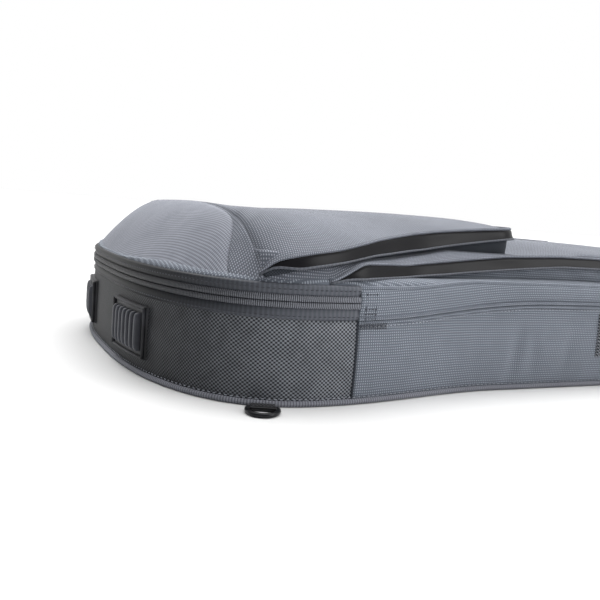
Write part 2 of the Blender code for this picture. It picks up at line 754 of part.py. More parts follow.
def pocket_path(stations, inset, end):
    """Plan line along a pocket's near side, round its far end and back."""
    near = [(x, -pocket_half(x, inset, end)) for x in stations]
    return near + [(x, -y) for x, y in reversed(near)]


def outwards_of(path):
    """Outward normals at the points of an open plan line that starts on the near side."""
    normals = []
    for i in range(len(path)):
        before, after = path[max(i - 1, 0)], path[min(i + 1, len(path) - 1)]
        dx, dy = after[0] - before[0], after[1] - before[1]
        size = math.hypot(dx, dy)
        normals.append((dy / size, -dx / size))
    return normals


def pocket_strip(stations, inset, end, outer, inner):
    """Plan outline of a strip that follows a pocket's side round its far end."""
    path = pocket_path(stations, inset, end)
    normals = outwards_of(path)
    rows = [[(x + nx * out, y + ny * out) for (x, y), (nx, ny) in zip(path, normals)]
            for out in (outer, inner)]
    return rows[0] + rows[1][::-1]


def carried_profile(name, path, profile, material):
    """A closed profile of (outwards, height) points carried along a plan line."""
    corners = []
    for (x, y), (nx, ny) in zip(path, outwards_of(path)):
        corners += [(x + nx * out - MIDDLE, y + ny * out, z) for out, z in profile]
    size = len(profile)
    faces = []
    for r in range(len(path) - 1):
        for c in range(size):
            a, b = r * size + c, r * size + (c + 1) % size
            faces.append((a, a + size, b + size, b))
    last = (len(path) - 1) * size
    faces.append(tuple(range(size)))
    faces.append(tuple(range(last + size - 1, last - 1, -1)))
    mesh = bpy.data.meshes.new(name)
    mesh.from_pydata(corners, [], faces)
    return enlist(bpy.data.objects.new(name, mesh), material)


def make_pocket(looks, name, stations, end, inset, low, edge, tops):
    """A pocket front with its zip and rain flap; tops gives the top at a station."""
    sections = []
    for x in stations:
        half = pocket_half(x, inset, end)
        brim = low + HEEL_BRIM + (edge - low - HEEL_BRIM) * smooth(x, HEEL_TO, FLAP_FROM)
        sections.append(dome_section(x, half, low, brim, tops(x)))
    shell = section_shell(f"{name}_pocket", sections, False, True, POCKET_SKIN, looks["grey"])
    pieces = [shell]
    ring = [x for x in stations if x >= FLAP_FROM - 0.001]
    zip_low = low + ZIP_ABOVE_SEAM
    zip_strip = pocket_strip(ring, inset, end, GAP + POCKET_ZIP_THICK, GAP)
    pieces.append(plate(f"{name}_pocket_zip", [zip_strip], zip_low,
                        zip_low + POCKET_ZIP_HEIGHT, looks["coil"]))
    leaf_out = FLAP_STAND_OFF + FLAP_THICK
    hook = [(GAP, edge - FLAP_THICK), (FLAP_STAND_OFF, edge - FLAP_THICK),
            (FLAP_STAND_OFF, edge - FLAP_HEIGHT), (leaf_out, edge - FLAP_HEIGHT),
            (leaf_out, edge), (GAP, edge)]
    flap = carried_profile(f"{name}_pocket_flap", pocket_path(ring, inset, end), hook,
                           looks["flap"])
    pieces.append(flap)
    return pieces


def make_pocket_slider(looks, name, station, side_half, zip_low):
    """A pocket's slider under its flap on the far side, its pull flat on the cloth below."""
    x = station - MIDDLE
    inner = side_half + POCKET_ZIP_THICK + 2.0 * GAP
    outer = FLAP_STAND_OFF + side_half - GAP
    body = block(f"{name}_slider", (x - 0.5 * SLIDER_LONG, inner, zip_low),
                 (x + 0.5 * SLIDER_LONG, outer, zip_low + POCKET_ZIP_HEIGHT),
                 looks["black_metal"], bevel=0.0006)
    pull = block(f"{name}_pull", (x - 0.5 * PULL_WIDE, outer + GAP, zip_low),
                 (x + 0.5 * PULL_WIDE, outer + POCKET_PULL_LONG, zip_low + POCKET_PULL_THICK),
                 looks["black_metal"])
    hang(f"{name}_track", (x, outer, zip_low), [body, pull])


def make_pockets(looks):
    """The long pocket, and the short one that is sewn on top of it."""
    base = RIM_HEIGHT + 2.0 * GAP + FRONT_FOAM + GAP
    start = HEEL_TO + GAP
    long_inset = pocket_inset(LONG_INSET, LONG_ZIP_FROM, LONG_ZIP_FULL)
    short_inset = pocket_inset(SHORT_INSET, SHORT_ZIP_FROM, SHORT_ZIP_FULL)
    bulge_from = SHORT_END + FLAP_STAND_OFF

    def long_top(x):
        bulge = smooth(x, bulge_from, bulge_from + BULGE_RISE) - smooth(x, BULGE_TO, LONG_END)
        return LONG_TOP + (LONG_BULGE - LONG_TOP) * bulge

    def short_top(x):
        return HEEL_TOP + (SHORT_TOP - HEEL_TOP) * smooth(x, HEEL_TO, SHORT_ZIP_FULL)

    stations = pocket_stations(start, LONG_END, [FLAP_FROM, bulge_from])
    long_pieces = make_pocket(looks, "long", stations, LONG_END, long_inset, base,
                              LONG_EDGE, long_top)
    short_low = LONG_TOP + GAP
    stations = pocket_stations(start, SHORT_END, [FLAP_FROM, WAIST_FROM])
    short_pieces = make_pocket(looks, "short", stations, SHORT_END, short_inset, short_low,
                               SHORT_EDGE, short_top)
    fold = (HEEL_TO - MIDDLE, 0.0, HEEL_TOP + FOLD_OVER)
    make_pocket_slider(looks, "long_pocket", LONG_SLIDER_AT, FLANK_HALF - LONG_INSET,
                       base + ZIP_ABOVE_SEAM)
    make_pocket_slider(looks, "short_pocket", SHORT_SLIDER_AT, FLANK_HALF - SHORT_INSET,
                       short_low + ZIP_ABOVE_SEAM)
    strip_low = LONG_BULGE + GAP
    strip = block("reflective_strip",
                  (STRIP_AT - 0.5 * STRIP_DEEP - MIDDLE, -STRIP_HALF, strip_low),
                  (STRIP_AT + 0.5 * STRIP_DEEP - MIDDLE, STRIP_HALF, strip_low + STRIP_HIGH),
                  looks["reflective"])
    long_pieces.append(strip)
    hang("long_pocket_fold", fold, long_pieces)
    hang("short_pocket_fold", fold, short_pieces)


def main():
    for thing in list(bpy.data.objects):
        bpy.data.objects.remove(thing)
    scene = bpy.context.scene
    scene.collection.children.link(parts)
    scene.collection.children.link(cutters)
    looks = {
        "grey": cloth("grey_nylon", (0.20, 0.23, 0.26), 0.75),
        "ballistic": cloth("dark_ballistic_nylon", (0.055, 0.062, 0.080), 0.60),
        "foam": cloth("foam", (0.02, 0.02, 0.022), 0.90),
        "plush": cloth("black_plush", (0.012, 0.012, 0.014), 0.95),
        "tape": cloth("zip_tape", (0.045, 0.048, 0.058), 0.70),
        "coil": cloth("zip_coil", (0.030, 0.032, 0.038), 0.45),
        "binding": cloth("grey_binding", (0.22, 0.23, 0.27), 0.70),
        "rubber": cloth("black_rubber", (0.020, 0.020, 0.022), 0.55),
        "webbing": cloth("black_webbing", (0.015, 0.015, 0.017), 0.70),
        "flap": cloth("coated_flap", (0.020, 0.021, 0.026), 0.40),
        "mesh": cloth("air_mesh", (0.030, 0.030, 0.034), 0.85),
        "plastic": cloth("black_plastic", (0.015, 0.015, 0.016), 0.40),
        "hook_and_loop": cloth("hook_and_loop", (0.014, 0.014, 0.015), 0.90),
        "black_metal": cloth("black_metal", (0.030, 0.030, 0.032), 0.30, 0.8),
        "reflective": cloth("reflective_tape", (0.55, 0.56, 0.58), 0.35),
    }
    track = Track()
    make_base(track, looks)
    make_foot(track, looks, "foot_near", 1.0)
    make_foot(track, looks, "foot_far", -1.0)
    make_ring(track, looks, "near", 1.0)
    make_ring(track, looks, "far", -1.0)
    make_handle(track, looks)
    make_head_loop(looks)
    make_inside(looks)
    make_strap(looks, "near", -1.0)
    make_strap(looks, "far", 1.0)
    make_lid(track, looks)
    make_main_sliders(looks)
    make_pockets(looks)


main()
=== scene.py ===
"""Looks of a padded gig bag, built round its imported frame.

Stations are distances from the bag's bottom end, heights start at the floor.
Cloth is drawn as grids worked out from the bag's outline, so that a pattern can
follow the surface in real millimetres. All sizes are in metres.
"""
import math

import bmesh
import bpy
import numpy as np
from mathutils import Matrix, Vector


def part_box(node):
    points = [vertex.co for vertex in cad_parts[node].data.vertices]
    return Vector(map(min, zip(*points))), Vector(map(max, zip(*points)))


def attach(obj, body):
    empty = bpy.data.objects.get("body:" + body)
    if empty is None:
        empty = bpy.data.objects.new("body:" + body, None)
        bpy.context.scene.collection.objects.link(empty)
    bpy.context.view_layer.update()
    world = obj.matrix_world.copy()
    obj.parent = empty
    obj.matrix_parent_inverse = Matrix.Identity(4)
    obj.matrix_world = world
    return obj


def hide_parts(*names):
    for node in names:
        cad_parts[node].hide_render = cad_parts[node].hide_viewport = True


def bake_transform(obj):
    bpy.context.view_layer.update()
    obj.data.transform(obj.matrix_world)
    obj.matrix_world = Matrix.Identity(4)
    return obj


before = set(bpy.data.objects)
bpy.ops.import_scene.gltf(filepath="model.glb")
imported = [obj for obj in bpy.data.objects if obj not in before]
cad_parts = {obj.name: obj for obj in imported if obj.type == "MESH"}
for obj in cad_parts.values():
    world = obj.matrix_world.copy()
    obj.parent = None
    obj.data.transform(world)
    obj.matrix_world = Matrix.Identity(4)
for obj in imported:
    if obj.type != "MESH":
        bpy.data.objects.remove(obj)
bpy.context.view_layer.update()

# ------------------------------------------------------------ sizes of the bag
# The outline: its length, its widest place, the flank and the neck.
LENGTH, LOWER_AT, LOWER_HALF, BOTTOM_POWER = 1.040, 0.110, 0.204, 2.6
WAIST_FROM, FLANK_TO, FLANK_HALF = 0.270, 0.440, 0.183
NECK_FROM, NECK_HALF, HEAD_RUN, HEAD_POWER = 0.690, 0.078, 0.110, 2.8
MIDDLE = 0.5388          # station of the frame's origin
WALL, GAP = 0.0140, 0.0003           # the wall's thickness, and the gap to what fits in it
WALL_LOW, SEAM = 0.0022, 0.0615      # heights of the side panels' lower and upper edges
FRONT_EDGE, FRONT = 0.0818, 0.0883   # heights of the padded front's edge and middle
ZIP_STOP, ZIP_RESUME = 0.1305, 0.455          # stations of the spine cloth's two ends
# The pockets: the fold they turn about, their far ends, and how far they stand in.
FOLD, LONG_END, SHORT_END = 0.062, 0.500, 0.328
LONG_INSET, SHORT_INSET, FOOT_INSET = 0.017, 0.036, 0.003
END_RUN, END_POWER = 0.042, 3.2
PANEL_CLOTH, TAPE_CLOTH, POCKET_CLOTH, FRONT_CLOTH = 0.0012, 0.0010, 0.0018, 0.0014
SEAM_ROLL = 0.0012       # radius of the rolled seams
FOOT_LONG, FOOT_HIGH, FOOT_LOW, FOOT_AT, FOOT_RIBS = 0.066, 0.039, 0.013, 0.079, 7
RING_AT, RING_HALF, RING_DEEP, RING_WIRE = 0.067, 0.01025, 0.0150, 0.0017
TAB_WIDE, TAB_THICK = 0.0165, 0.0018
HANDLE_ENDS, HANDLE_HEIGHT, HANDLE_DROP = (0.395, 0.515), 0.044, 0.020
LOOP_WIDE, LOOP_OUT, LOOP_BAND, LOOP_HEIGHT = 0.050, 0.0445, 0.0220, 0.038


def smooth(value, low, high):
    """0 below low, 1 above high, and 3u^2 - 2u^3 between them."""
    u = np.clip((np.asarray(value, float) - low) / (high - low), 0.0, 1.0)
    return u * u * (3.0 - 2.0 * u)


def hump(value, middle, half):
    """A bell of height 1 and the given half width, exp(-(distance / half)^2)."""
    return np.exp(-(((np.asarray(value, float) - middle) / half) ** 2))


def climb(station, stations, heights):
    """Heights given at a few stations, joined by lines and averaged over 10 mm."""
    station = np.asarray(station, float)
    shifts = np.linspace(-0.005, 0.005, 7)
    return np.mean([np.interp(station + s, stations, heights) for s in shifts], axis=0)


def half_width(station):
    """Half the bag's width from its widest place to the head."""
    flank = LOWER_HALF + (FLANK_HALF - LOWER_HALF) * smooth(station, LOWER_AT, WAIST_FROM)
    return flank + (NECK_HALF - FLANK_HALF) * smooth(station, FLANK_TO, NECK_FROM)


def body_half(station):
    """Half the width with the rounded bottom end: a superellipse up to LOWER_AT."""
    share = np.clip(1.0 - np.asarray(station, float) / LOWER_AT, 0.0, 1.0)
    bottom = LOWER_HALF * (1.0 - share ** BOTTOM_POWER) ** (1.0 / BOTTOM_POWER)
    return np.where(share > 0.0, bottom, half_width(station))


def near_outline():
    """The near half of the outline as dense arrays, from the bottom to the head."""
    turn = 0.5 * math.pi * np.linspace(0.0, 1.0, 160)
    bottom = np.stack([LOWER_AT * (1.0 - np.cos(turn) ** (2.0 / BOTTOM_POWER)),
                       -LOWER_HALF * np.sin(turn) ** (2.0 / BOTTOM_POWER)], 1)
    side_x = np.linspace(LOWER_AT, LENGTH - HEAD_RUN, 400)[1:]
    side = np.stack([side_x, -half_width(side_x)], 1)
    arc = 0.5 * math.pi * np.linspace(0.0, 1.0, 120)[1:]
    head = np.stack([LENGTH - HEAD_RUN + HEAD_RUN * np.sin(arc) ** (2.0 / HEAD_POWER),
                     -NECK_HALF * np.abs(np.cos(arc)) ** (2.0 / HEAD_POWER)], 1)
    head[-1, 1] = 0.0
    return np.concatenate([bottom, side, head])


NEAR = near_outline()
RING = np.concatenate([NEAR, (NEAR * [1.0, -1.0])[-2::-1]])
RING_RUN = np.concatenate([[0.0], np.cumsum(np.hypot(*np.diff(RING, axis=0).T))])
LAP = RING_RUN[-1]
STEP = 0.004             # spacing of the cloth's columns along the outline


def along(run):
    """Points of the outline at runs from the bottom's middle, near side first."""
    run = np.mod(run, LAP)
    return np.stack([np.interp(run, RING_RUN, RING[:, i]) for i in (0, 1)], -1)


def outwards(run):
    """Outward normals of the outline, from points 3 mm before and behind."""
    ahead = along(np.asarray(run) + 0.003) - along(np.asarray(run) - 0.003)
    normal = np.stack([ahead[..., 1], -ahead[..., 0]], -1)
    return normal / np.linalg.norm(normal, axis=-1, keepdims=True)


def run_at(station):
    """Run of the near side's point at a station."""
    return float(np.interp(station, NEAR[:, 0], RING_RUN[:len(NEAR)]))


STOP_RUN, RESUME_RUN = run_at(ZIP_STOP), run_at(ZIP_RESUME)


# ------------------------------------------------------------ mesh makers
def piece(name, points, faces, material, uv=None, shade=True):
    """A mesh piece from points, faces and, if given, a cloth map per face corner."""
    mesh = bpy.data.meshes.new(name)
    mesh.from_pydata(points, [], faces)
    if uv is not None:
        layer = mesh.uv_layers.new(name="cloth")
        layer.data.foreach_set("uv", np.asarray(uv, np.float32).ravel())
    mesh.materials.append(material)
    if shade:
        mesh.shade_smooth()
    thing = bpy.data.objects.new(name, mesh)
    bpy.context.scene.collection.objects.link(thing)
    return thing


def grid(name, points, u, v, material, wrap_rows=False, wrap_cols=False, weld=0.0):
    """A surface over rows and columns of points, its cloth map given in metres.

    Faces look to the side of d(points)/d(row) x d(points)/d(column)."""
    points = np.asarray(points, float)
    rows, cols = points.shape[:2]
    r, c = np.meshgrid(np.arange(rows - 1 + wrap_rows), np.arange(cols - 1 + wrap_cols),
                       indexing="ij")
    corners = [(r, c), (r + 1, c), (r + 1, c + 1), (r, c + 1)]
    faces = np.stack([(a % rows) * cols + b % cols for a, b in corners], -1).reshape(-1, 4)
    u, v = (np.broadcast_to(np.asarray(m, float), (rows, cols)) for m in (u, v))
    if wrap_rows:
        u = np.concatenate([u, u[-1:] + (u[1:2] - u[:1])])
        v = np.concatenate([v, v[:1]])
    if wrap_cols:
        u = np.concatenate([u, u[:, :1]], 1)
        v = np.concatenate([v, v[:, -1:] + (v[:, 1:2] - v[:, :1])], 1)
    uv = np.stack([np.stack([u[a, b], v[a, b]], -1) for a, b in corners], -2).reshape(-1, 2)
    thing = piece(name, (points.reshape(-1, 3) - [MIDDLE, 0.0, 0.0]).tolist(),
                  faces.tolist(), material, uv)
    if weld:
        shape = bmesh.new()
        shape.from_mesh(thing.data)
        bmesh.ops.remove_doubles(shape, verts=shape.verts, dist=weld)
        shape.to_mesh(thing.data)
        shape.free()
    return thing


def thicken(thing, thickness, offset=-1.0):
    """Give a surface its cloth thickness, inwards from its faces unless offset is 1."""
    wall = thing.modifiers.new("cloth thickness", "SOLIDIFY")
    wall.thickness = thickness
    wall.offset = offset
    return thing


def carried(name, runs, profile, material, closed=False):
    """A profile of (out, height) points carried along the bag's outline.

    The profile is one array, or one per run; it is closed when its ends meet."""
    runs = np.asarray(runs, float)
    profile = np.asarray(profile, float)
    if profile.ndim == 2:
        profile = np.broadcast_to(profile, (len(runs),) + profile.shape)
    flat, normal = along(runs), outwards(runs)
    out, height = profile[..., 0], profile[..., 1]
    points = np.stack([flat[:, None, 0] + normal[:, None, 0] * out,
                       flat[:, None, 1] + normal[:, None, 1] * out, height], -1)
    steps = np.hypot(np.diff(out, axis=1), np.diff(height, axis=1))
    across = np.concatenate([np.zeros((len(runs), 1)), np.cumsum(steps, axis=1)], 1)
    return grid(name, points, runs[:, None], across, material, wrap_rows=closed)


def swept(name, centre, across, up, profile, material, closed=False):
    """A closed profile of (across, up) points carried along a line in space."""
    centre, across, up = (np.asarray(m, float) for m in (centre, across, up))
    profile = np.asarray(profile, float)
    points = (centre[:, None] + across[:, None] * profile[None, :, :1]
              + up[:, None] * profile[None, :, 1:])
    run = np.concatenate([[0.0], np.cumsum(np.linalg.norm(np.diff(centre, axis=0), axis=1))])
    ring = np.concatenate([[0.0], np.cumsum(np.linalg.norm(np.diff(profile, axis=0), axis=1))])
    thing = grid(name, points, run[:, None], ring[None, :], material,
                 wrap_rows=closed, wrap_cols=True)
    if not closed:
        count = len(profile)
        shape = bmesh.new()
        shape.from_mesh(thing.data)
        shape.verts.ensure_lookup_table()
        last = (len(centre) - 1) * count
        shape.faces.new([shape.verts[i] for i in range(count)])
        shape.faces.new([shape.verts[last + count - 1 - i] for i in range(count)])
        bmesh.ops.recalc_face_normals(shape, faces=shape.faces)
        shape.to_mesh(thing.data)
        shape.free()
    return thing


def oval(wide, high, count=12, power=2.0):
    """A closed superellipse profile: |a/w|^p + |b/h|^p = 1."""
    turn = 2.0 * math.pi * np.arange(count) / count
    a, b = np.cos(turn), np.sin(turn)
    return np.stack([0.5 * wide * np.sign(a) * np.abs(a) ** (2.0 / power),
                     0.5 * high * np.sign(b) * np.abs(b) ** (2.0 / power)], -1)


def bead(name, runs, out, height, radius, material, closed=False, count=8):
    """A round cord carried along the outline at an offset and a height."""
    turn = 2.0 * math.pi * np.arange(count + 1) / count
    ring = np.stack([out + radius * np.cos(turn), height + radius * np.sin(turn)], -1)
    return carried(name, runs, ring[::-1], material, closed)


# ------------------------------------------------------------ materials
def colour(hex_code):
    """An sRGB hex colour as linear RGBA."""
    value = np.array([int(hex_code[i:i + 2], 16) / 255.0 for i in (1, 3, 5)])
    linear = np.where(value <= 0.04045, value / 12.92, ((value + 0.055) / 1.055) ** 2.4)
    return (*linear, 1.0)


def add(material, kind, links=(), **settings):
    """Adds a node; settings go to its own properties or its sockets, links to sockets."""
    tree = material.node_tree
    node = tree.nodes.new(kind)
    for key, value in settings.items():
        if hasattr(node, key):
            setattr(node, key, value)
        else:
            node.inputs[key.replace("_", " ")].default_value = value
    for socket, source in dict(links).items():
        tree.links.new(source, node.inputs[socket])
    return node


def shader_of(name, roughness, metallic=0.0, sheen=0.0, gloss=0.22):
    """A new material and its shader, with the values that are the same all over."""
    material = bpy.data.materials.new(name)
    material.use_nodes = True
    shader = material.node_tree.nodes["Principled BSDF"]
    shader.inputs["Roughness"].default_value = roughness
    shader.inputs["Metallic"].default_value = metallic
    shader.inputs["Sheen Weight"].default_value = sheen
    shader.inputs["Sheen Roughness"].default_value = 0.45
    shader.inputs["Specular IOR Level"].default_value = 0.5 if metallic else gloss
    return material, shader


def maths(material, operation, a, b=None):
    """One Math node; a and b are sockets or numbers."""
    node = add(material, "ShaderNodeMath", operation=operation)
    for index, value in enumerate((a, b)):
        if value is None:
            continue
        if isinstance(value, (int, float)):
            node.inputs[index].default_value = value
        else:
            material.node_tree.links.new(value, node.inputs[index])
    return node.outputs[0]


def mixed(material, amount, first, second):
    """A colour between two colours or sockets by an amount socket or number."""
    node = add(material, "ShaderNodeMix", data_type="RGBA")
    for index, value in ((0, amount), (6, first), (7, second)):
        if isinstance(value, (int, float, tuple)):
            node.inputs[index].default_value = value
        else:
            material.node_tree.links.new(value, node.inputs[index])
    return node.outputs[2]


END_SHADE_START, END_SHADE_END = -0.5450, -0.4400   # X between which the painted shade at the bottom end goes


def woven(name, thread, shade, pitch, turn=0.0, stretch=1.0, depth=0.25, lattice="dots",
          roughness=0.75, sheen=0.12, blotch=0.10, on="map", mottled=0.0, end_shade=1.0,
          gloss=0.22):
    """A woven cloth. thread and shade are the colours of its raised and sunk parts.

    The pattern is cos x cos y of the cloth map, a diagonal lattice of raised
    threads a pitch apart; a square one is (1 + cos x)(1 + cos y), and a ribbed cloth
    is cos x alone. Slow noise makes the colour uneven, as dye and handling do. The
    colour is multiplied by a given factor at the bottom end, and by 1 past the ramp's
    end: painted shade, standing in for the shade the lamps leave at that end."""
    material, shader = shader_of(name, roughness, sheen=sheen, gloss=gloss)
    links = material.node_tree.links
    place = add(material, "ShaderNodeTexCoord")
    source = place.outputs["UV" if on == "map" else "Object"]
    wobble = add(material, "ShaderNodeTexNoise", {"Vector": place.outputs["Object"]},
                 Scale=90.0, Detail=1.0)
    turned = add(material, "ShaderNodeMapping", {"Vector": source})
    turned.inputs["Rotation"].default_value = (0.0, 0.0, math.radians(turn))
    wave = 2.0 * math.pi / pitch
    turned.inputs["Scale"].default_value = (wave / stretch, wave, wave)
    axes = add(material, "ShaderNodeSeparateXYZ", {"Vector": turned.outputs[0]})
    drift = maths(material, "MULTIPLY", wobble.outputs["Fac"], 2.2)
    first = maths(material, "COSINE", maths(material, "ADD", axes.outputs[0], drift))
    second = maths(material, "COSINE", maths(material, "SUBTRACT", axes.outputs[1], drift))
    if lattice == "dots":
        raised = maths(material, "MULTIPLY", first, second)
    elif lattice == "ribs":
        raised = first
    else:
        lit = [maths(material, "ADD", wave, 1.0) for wave in (first, second)]
        raised = maths(material, "ADD", maths(material, "MULTIPLY", *lit), -1.8)
    level = maths(material, "ADD", maths(material, "MULTIPLY", raised, 0.5), 0.5)
    crisp = add(material, "ShaderNodeMapRange", {"Value": level})
    crisp.inputs["From Min"].default_value = 0.30
    crisp.inputs["From Max"].default_value = 0.80
    uneven = add(material, "ShaderNodeTexNoise", {"Vector": place.outputs["Object"]},
                 Scale=14.0, Detail=3.0)
    amount = maths(material, "MULTIPLY", crisp.outputs[0],
                   maths(material, "ADD", maths(material, "MULTIPLY", wobble.outputs["Fac"],
                                                mottled), 1.0 - 0.5 * mottled))
    cloth = mixed(material, amount, colour(shade), colour(thread))
    dark = tuple(c * (1.0 - 2.0 * blotch) for c in colour(shade)[:3]) + (1.0,)
    patch = add(material, "ShaderNodeMapRange", {"Value": uneven.outputs["Fac"]})
    patch.inputs["From Min"].default_value = 0.42
    patch.inputs["From Max"].default_value = 0.72
    patch.inputs["To Max"].default_value = blotch * 2.5
    cloth = mixed(material, patch.outputs[0], cloth, dark)
    # Painted shade: the colour is darkened towards the bottom end, which the lamps leave in shade.
    if end_shade < 1.0:
        station = add(material, "ShaderNodeSeparateXYZ", {"Vector": place.outputs["Object"]})
        ramp = add(material, "ShaderNodeMapRange", {"Value": station.outputs[0]})
        ramp.interpolation_type = "SMOOTHSTEP"
        ramp.inputs["From Min"].default_value = END_SHADE_START
        ramp.inputs["From Max"].default_value = END_SHADE_END
        ramp.inputs["To Min"].default_value = end_shade
        darker = add(material, "ShaderNodeMix", data_type="RGBA", blend_type="MULTIPLY")
        darker.inputs[0].default_value = 1.0
        links.new(cloth, darker.inputs[6])
        links.new(ramp.outputs[0], darker.inputs[7])
        cloth = darker.outputs[2]
    links.new(cloth, shader.inputs["Base Color"])
    bump = add(material, "ShaderNodeBump", {"Height": level}, Strength=min(1.0, depth * 2.0))
    bump.inputs["Distance"].default_value = depth * pitch
    links.new(bump.outputs[0], shader.inputs["Normal"])
    return material


def moulded(name, base, light, roughness, grain=500.0, depth=0.00008, metallic=0.0):
    """A moulded or coated hard surface: fine grain, and slow noise that makes it a little lighter in
    patches, as wear does.
    """
    material, shader = shader_of(name, roughness, metallic)
    links = material.node_tree.links
    place = add(material, "ShaderNodeTexCoord")
    fine = add(material, "ShaderNodeTexNoise", {"Vector": place.outputs["Object"]},
               Scale=grain, Detail=2.0)
    slow = add(material, "ShaderNodeTexNoise", {"Vector": place.outputs["Object"]},
               Scale=35.0, Detail=2.0)
    worn = add(material, "ShaderNodeMapRange", {"Value": slow.outputs["Fac"]})
    worn.inputs["From Min"].default_value = 0.40
    worn.inputs["From Max"].default_value = 0.75
    links.new(mixed(material, worn.outputs[0], colour(base), colour(light)),
              shader.inputs["Base Color"])
    bump = add(material, "ShaderNodeBump", {"Height": fine.outputs["Fac"]}, Strength=0.5)
    bump.inputs["Distance"].default_value = depth
    links.new(bump.outputs[0], shader.inputs["Normal"])
    return material


# 1680-denier ballistic nylon: thick glossy dark yarns in a basket weave, each float a bright dash; the
# weave is the cloth's own, the dashes' light grey is a painted highlight.
# Its real pitch of about 1.2 mm is drawn at twice that, so that it shows.
# Painted shade darkens it towards the bottom end.
ballistic = woven("ballistic_nylon_basket_weave", "#94989f", "#1e2127", 0.0027, stretch=1.15,
                  depth=0.16, roughness=0.60, sheen=0.02, mottled=0.9, end_shade=0.15)
# 600-denier polyester with a PU backing, plain woven, drawn at twice its pitch.
wall_cloth = woven("grey_nylon_plain_weave_wall", "#a0a6b0", "#646a74", 0.0019, depth=0.10,
                   lattice="square", roughness=0.72, sheen=0.06, mottled=0.8)
heel_cloth = woven("grey_nylon_twill_heel", "#999ca6", "#666a74", 0.0023, turn=32.0,
                   stretch=1.3, depth=0.12, roughness=0.70, sheen=0.06, mottled=0.8)
front_cloth = woven("grey_nylon_plain_weave_front", "#9a9ea9", "#5b5f68", 0.0020, stretch=0.8,
                    depth=0.12, lattice="square", roughness=0.70, sheen=0.06, mottled=0.9)
# The grey nylon of the pocket's gusset, made much darker: painted shade under the flap's overhang.
gusset_shade_cloth = woven("grey_nylon_gusset_painted_shade", "#3f444c", "#24272d", 0.0020, depth=0.08,
                     roughness=0.74, sheen=0.03, mottled=0.8)
# Painted shade darkens the zip tape towards the bottom end.
zip_tape = woven("polyester_zip_tape_herringbone", "#63666e", "#575a61", 0.0011, stretch=3.0,
                 depth=0.05, lattice="ribs", roughness=0.46, sheen=0.0, blotch=0.14, end_shade=0.06,
                 gloss=0.12)
# Painted shade darkens the coil towards the bottom end.
zip_coil = woven("reverse_coil_stitched_tape", "#8c8f98", "#34363b", 0.0014, depth=0.30,
                 lattice="ribs", roughness=0.46, sheen=0.0, blotch=0.12, end_shade=0.12)
binding = woven("grosgrain_seam_binding", "#85878f", "#5f616a", 0.0020, depth=0.2,
                lattice="ribs", roughness=0.65)
webbing = woven("polypropylene_webbing", "#303136", "#0e0e10", 0.0024, stretch=1.6,
                depth=0.3, roughness=0.6, blotch=0.05)
flap_cloth = woven("coated_rain_flap", "#1d1c1f", "#171719", 0.0008, stretch=2.0, depth=0.03,
                   roughness=0.34, sheen=0.0, blotch=0.12, gloss=0.09)
lining = woven("brushed_plush_lining", "#2c2c31", "#151518", 0.0016, depth=0.4,
               roughness=0.95, sheen=0.5, on="object", blotch=0.15)
air_mesh = woven("spacer_air_mesh", "#33343a", "#0a0a0c", 0.0042, depth=0.4,
                 roughness=0.85, on="object")
back_cloth = woven("dark_back_panel_nylon", "#50545c", "#2b2e34", 0.0030, depth=0.15,
                   roughness=0.75, on="object")
reflective = woven("glass_bead_reflective_tape", "#e9eaee", "#c7c9cf", 0.0016, depth=0.05,
                   roughness=0.30, sheen=0.0, on="object", blotch=0.05)
rubber = moulded("moulded_rubber_foot", "#232427", "#3a3b40", 0.46)
rubber_face = moulded("rubbed_rubber_rib_faces", "#44464c", "#54565d", 0.42)
black_zinc = moulded("black_coated_zinc_alloy", "#141416", "#2c2c30", 0.28, depth=0.00003,
                     metallic=0.6)
acetal = moulded("black_acetal_buckle", "#17171a", "#26262a", 0.42)


# ------------------------------------------------------------ side walls
def runs_between(start, stop, step=STEP):
    """Runs at about one step apart, both ends included."""
    return np.linspace(start, stop, max(3, int(round((stop - start) / step)) + 1))


def near_station(run):
    """Station of a run on the near side, or 2 past the bag where it is elsewhere."""
    run = np.asarray(run, float)
    flat = along(run)
    return np.where((flat[..., 1] <= 0.0) & (np.mod(run, LAP) < 0.5 * LAP), flat[..., 0], 2.0)


def seam_height(run):
    """Top edge of the side panels: it climbs past the zip's stop on the spine side."""
    station = near_station(run)
    return SEAM - 0.003 * hump(station, 0.125, 0.06) + 0.0085 * (
        smooth(station, 0.170, 0.320) - smooth(station, 0.380, 0.450))


def wall_relief(run, height):
    """How far the wall cloth stands out: a soft belly with shallow upright creases."""
    share = height / SEAM
    belly = 0.0012 * np.sin(math.pi * np.clip(share, 0.0, 1.0))
    station = near_station(run)
    crease = 0.0
    for at, lean, deep in ((0.293, 0.010, 0.0024), (0.312, -0.006, 0.0014),
                           (0.350, 0.012, 0.0012), (0.250, 0.004, 0.0005),
                           (0.560, 0.010, 0.0014), (0.640, -0.008, 0.0012)):
        crease = crease + deep * hump(station, at + lean * (share - 0.5), 0.0055)
    slow = 0.0004 * np.sin(run * 61.0 + 1.3) * np.sin(share * 3.0 + run * 17.0)
    return belly + (slow - crease) * np.sin(math.pi * np.clip(share, 0.02, 0.98))


def side_wall(name, start, stop, material):
    """A side panel from the bottom piping to the seam under the zip strip."""
    runs = runs_between(start, stop)
    share = np.linspace(0.0, 1.0, 26)[None, :]
    height = WALL_LOW + (seam_height(runs)[:, None] - WALL_LOW) * share
    out = wall_relief(runs[:, None], height)
    return carried(name, runs, np.stack([out, np.broadcast_to(height, out.shape)], -1),
                   material)


ballistic_wall = side_wall("ballistic_side_panel", -STOP_RUN, STOP_RUN, ballistic)
grey_wall = side_wall("grey_side_panel", STOP_RUN, LAP - STOP_RUN, wall_cloth)
for wall, node, slot in ((ballistic_wall, "side_panel_ballistic", "ballistic_nylon"),
                         (grey_wall, "side_panel_grey", "grey_nylon")):
    thicken(wall, PANEL_CLOTH)
    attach(wall, "base")
    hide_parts(node)

